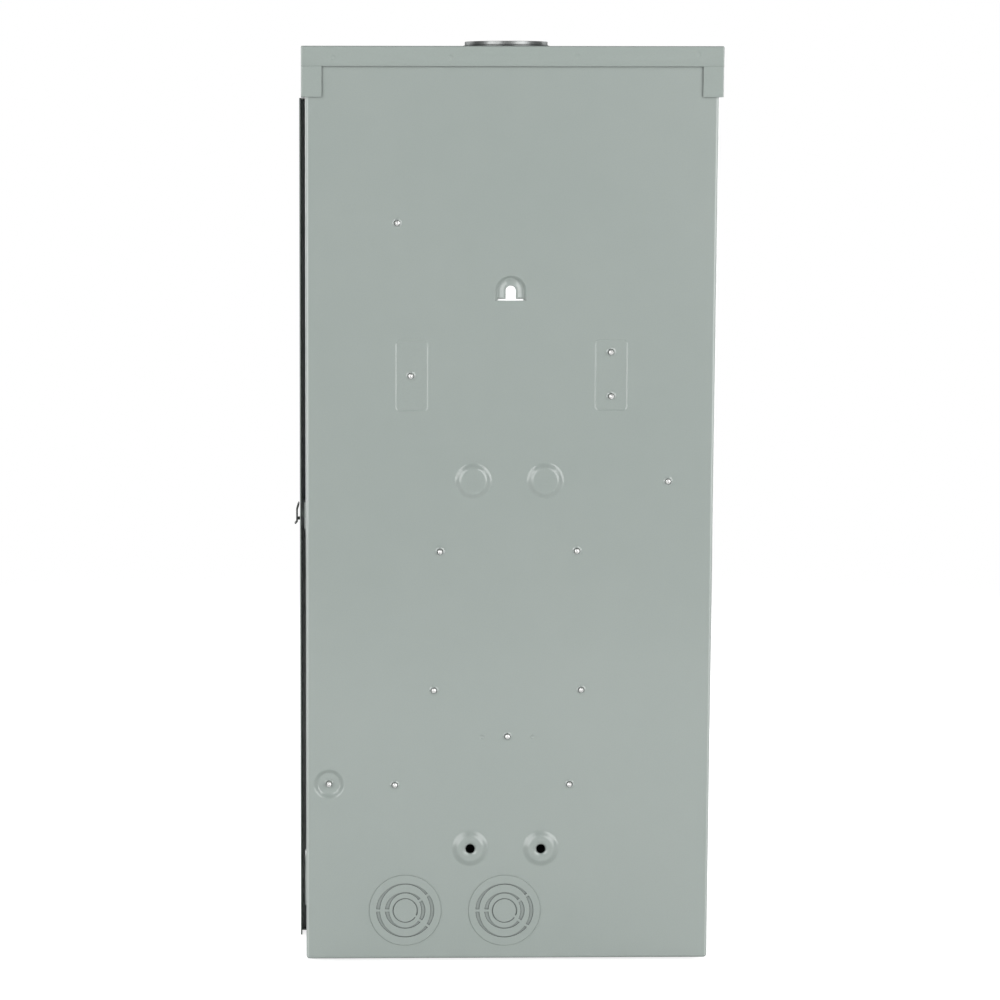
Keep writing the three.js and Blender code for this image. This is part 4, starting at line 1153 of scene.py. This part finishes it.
def cover_screw(node):
    """A pan-head machine screw with a cross recess, facing the door."""
    low, high = cad_box(node)
    u, v = (low.x + high.x) / 2, (low.z + high.z) / 2
    seat = low.y + 1.8
    bm = bmesh.new()
    shank = [(0.4, high.y), (1.7, high.y - 1.5), (1.9, high.y - 2.2), (1.9, seat)]
    profile = shank + [(4.1, seat), (4.2, seat - 0.3), (4.1, seat - 0.9), (3.7, seat - 1.4),
                       (3.1, low.y + 0.1), (2.9, low.y)]
    rings = lathe(bm, profile, u, v, Y, 36, closed=False)
    bm.faces.new(rings[0])
    head = Panel(bm, rings[-1], Y, -1)
    head.press([(cross_outline(u, v, 2.1, 0.5), 0.0), (cross_outline(u, v, 1.5, 0.4), -1.3)])
    head.close()
    outward(bm, (u, low.y, v + 2.7), (0, -1, 0))
    finished(node + "_pan_head", bm, [ZINC], replaced=[node])


# Where a bar's wire screws start, how much of its length they leave free, how far apart they are, how
# high they go on an upright bar, and how far they keep from the screws that hold the ground bar.
TERMINALS = {"start": 5, "spare": 16, "pitch": 8.5, "highest": 30, "clear": 8}
GROUND_BAR_SCREWS = (101.7, -55.3)


def set_screws(node):
    """The row of slotted wire-binding screws along a terminal bar, which stands up or lies across."""
    low, high = cad_box(node)
    middle = (low + high) / 2
    upright = high.z - low.z > high.x - low.x
    first, last = (low.z, high.z) if upright else (low.x, high.x)
    bm = bmesh.new()
    for k in range(int((last - first - TERMINALS["spare"]) / TERMINALS["pitch"]) + 1):
        along = first + TERMINALS["start"] + TERMINALS["pitch"] * k
        if upright and along > TERMINALS["highest"]:
            continue
        if not upright and min(abs(along - x) for x in GROUND_BAR_SCREWS) < TERMINALS["clear"]:
            continue
        u, v = (middle.x, along) if upright else (along, middle.z)
        terminal_screw(bm, u, v, low.y - 1.2, 3.0)
    outward(bm, (0, -1000, 0), (0, -1, 0))
    finished(node + "_set_screws", bm, [ZINC])


# ---------------------------------------------------------------- pieces kept from the CAD


def refined(node, material):
    """Gives a CAD node its finish, with small rounds on its edges."""
    solid = frame["nodes"][node]
    solid.data.materials.clear()
    solid.data.materials.append(material)
    round_off(solid, 0.35)
    shade(solid)


FINISHES = (
    (("hub_clamp_bar", "hub_bolt", "bonding_strap", "hinge_pin", "deadfront_screw"), ZINC),
    (("door_latch",), LATCH_STEEL),
    (("latch_keeper", "hinge_leaf", "door", "deadfront"), PAINT),
    (("interior_pan",), GALVANISED),
    (("interior_base", "neutral_lug_stand", "main_breaker_base"), INSULATOR),
    (("bus_bar",), TINNED),
    (("neutral_bar", "neutral_link", "neutral_lug", "ground_bar", "ground_lug"), ALUMINIUM),
    (("keyhole_seal",), GLOWING_FOAM),
    (("main_breaker", "branch_breaker"), BREAKER),
    (("main_handle", "branch_handle"), TOGGLE),
    (("filler_plate",), FILLER),
)


def finish_of(node):
    """The finish whose name start fits the node most closely."""
    starts = {start: finish for names, finish in FINISHES for start in names if node.startswith(start)}
    return starts[max(starts, key=len)]


# ---------------------------------------------------------------- stage

FLOOR_RADIUS = 2.4
VIEW = {"azimuth_elevation_roll": (178.9529, 7.1687, 0.0438), "distance": 2.70244,
        "target": (0.12672, 0, 0.00988), "lens": 109.8, "shift_x": 0.133}


def lookat(place, target):
    back = (Vector(place) - Vector(target)).normalized()
    right = Vector((0, 0, 1)).cross(back).normalized()
    up = back.cross(right)
    return Matrix((right, up, back)).transposed().to_4x4()


def camera():
    """The photograph's view: turned about the upright axis, then tipped down, then rolled."""
    azimuth, elevation, roll = (math.radians(angle) for angle in VIEW["azimuth_elevation_roll"])
    data = bpy.data.cameras.new("camera")
    data.sensor_width = 36
    data.lens = VIEW["lens"]
    data.shift_x = VIEW["shift_x"]
    eye = shown("camera", data)
    aim = Matrix.Rotation(azimuth, 4, "Z") @ Matrix.Rotation(TAU / 4 - elevation, 4, "X")
    away = Matrix.Translation((0, 0, VIEW["distance"]))
    eye.matrix_world = Matrix.Translation(VIEW["target"]) @ aim @ Matrix.Rotation(roll, 4, "Z") @ away
    bpy.context.scene.camera = eye


def softbox(name, place, target, width, height, power):
    data = bpy.data.lights.new(name, "AREA")
    data.shape = "RECTANGLE"
    data.size, data.size_y = width, height
    data.energy = power
    shown(name, data).matrix_world = Matrix.Translation(place) @ lookat(place, target)


def world():
    sky = bpy.data.worlds.new("studio")
    sky.use_nodes = True
    bpy.context.scene.world = sky
    tree = sky.node_tree
    backdrop = tree.nodes["Background"]
    backdrop.inputs["Color"].default_value = (1, 1, 1, 1)
    ambient = tree.nodes.new("ShaderNodeBackground")
    ambient.inputs["Color"].default_value = (0.93, 0.97, 1, 1)
    ambient.inputs["Strength"].default_value = 0.13
    path = tree.nodes.new("ShaderNodeLightPath")
    mix = tree.nodes.new("ShaderNodeMixShader")
    tree.links.new(path.outputs["Is Camera Ray"], mix.inputs["Fac"])
    tree.links.new(ambient.outputs[0], mix.inputs[1])
    tree.links.new(backdrop.outputs[0], mix.inputs[2])
    tree.links.new(mix.outputs[0], tree.nodes["World Output"].inputs["Surface"])


def floor():
    """A pale disc that fades into the white backdrop."""
    white = Finish("pale_floor")
    white.colour(white.ramp(white.noise(1.5), (0.8, 0.8, 0.8), (0.84, 0.84, 0.84)))
    white.set(Emission_Color=(1.0, 1.0, 1.0, 1.0))
    glow = white.add("ShaderNodeMath", operation="MULTIPLY")
    glow.inputs[1].default_value = 0.8
    white.link(white.add("ShaderNodeLightPath").outputs["Is Camera Ray"], glow.inputs[0])
    white.link(glow.outputs[0], white.shader.inputs["Emission Strength"])
    white.roughness(white.noise(3.0), 0.8, 0.9)
    ball = white.add("ShaderNodeTexGradient", gradient_type="SPHERICAL")
    white.link(white.stretched((1 / FLOOR_RADIUS,) * 3), ball.inputs["Vector"])
    solid = white.add("ShaderNodeMapRange", interpolation_type="SMOOTHSTEP")
    solid.inputs["From Min"].default_value = 0.0
    solid.inputs["From Max"].default_value = 0.55
    white.link(ball.outputs["Fac"], solid.inputs["Value"])
    white.link(solid.outputs["Result"], white.shader.inputs["Alpha"])
    bm = bmesh.new()
    bm.faces.new([bm.verts.new((x, y, 0)) for x, y in circle(0, 0, FLOOR_RADIUS, 64)])
    mesh = bpy.data.meshes.new("floor")
    bm.to_mesh(mesh)
    bm.free()
    mesh.materials.append(white.material)
    ground = shown("floor", mesh)
    ground.location.z = cad_size[0][2]


# Where a light on the right of the wall side stands, what it looks at, and its width and height.
STRIP = ((1.2, 2.6, 0.9), (0, 0, 0.45), 0.45, 2.7)
WIDE = ((2.05, 2.0, 0.78), (0, 0, 0.6), 1.5, 2.4)


def studio():
    """A strip and a wide light at each corner."""
    world()
    floor()
    for side, wide_power in ((1, 32), (-1, 36)):
        for face, end in (("rear", 1), ("front", -1)):
            for name, light, power in (("_strip", STRIP, 14), ("_wide", WIDE, wide_power)):
                (x, y, z), target, width, height = light
                softbox(face + name, (side * x, end * y, z), target, width, height, power)


# ---------------------------------------------------------------- assembly

camera()
studio()
box_body()
top_cap()
hub_plate()
door_panel()
door_knuckles()
dead_front()
main_breaker()
main_handle()
for screw in BACK_SCREWS:
    screw_point(screw)
for number in range(1, 5):
    cover_screw(f"deadfront_screw_{number}")
for number in range(1, 7):
    branch_breaker(f"branch_breaker_{number}")
    branch_handle(f"branch_handle_{number}")
for side in ("left", "right"):
    filler_plate(f"filler_plate_{side}")
    set_screws(f"neutral_bar_{side}")
set_screws("ground_bar")
for node, solid in frame["nodes"].items():
    if not solid.hide_render:
        refined(node, finish_of(node))

scene = bpy.context.scene
scene.view_settings.view_transform = "Standard"
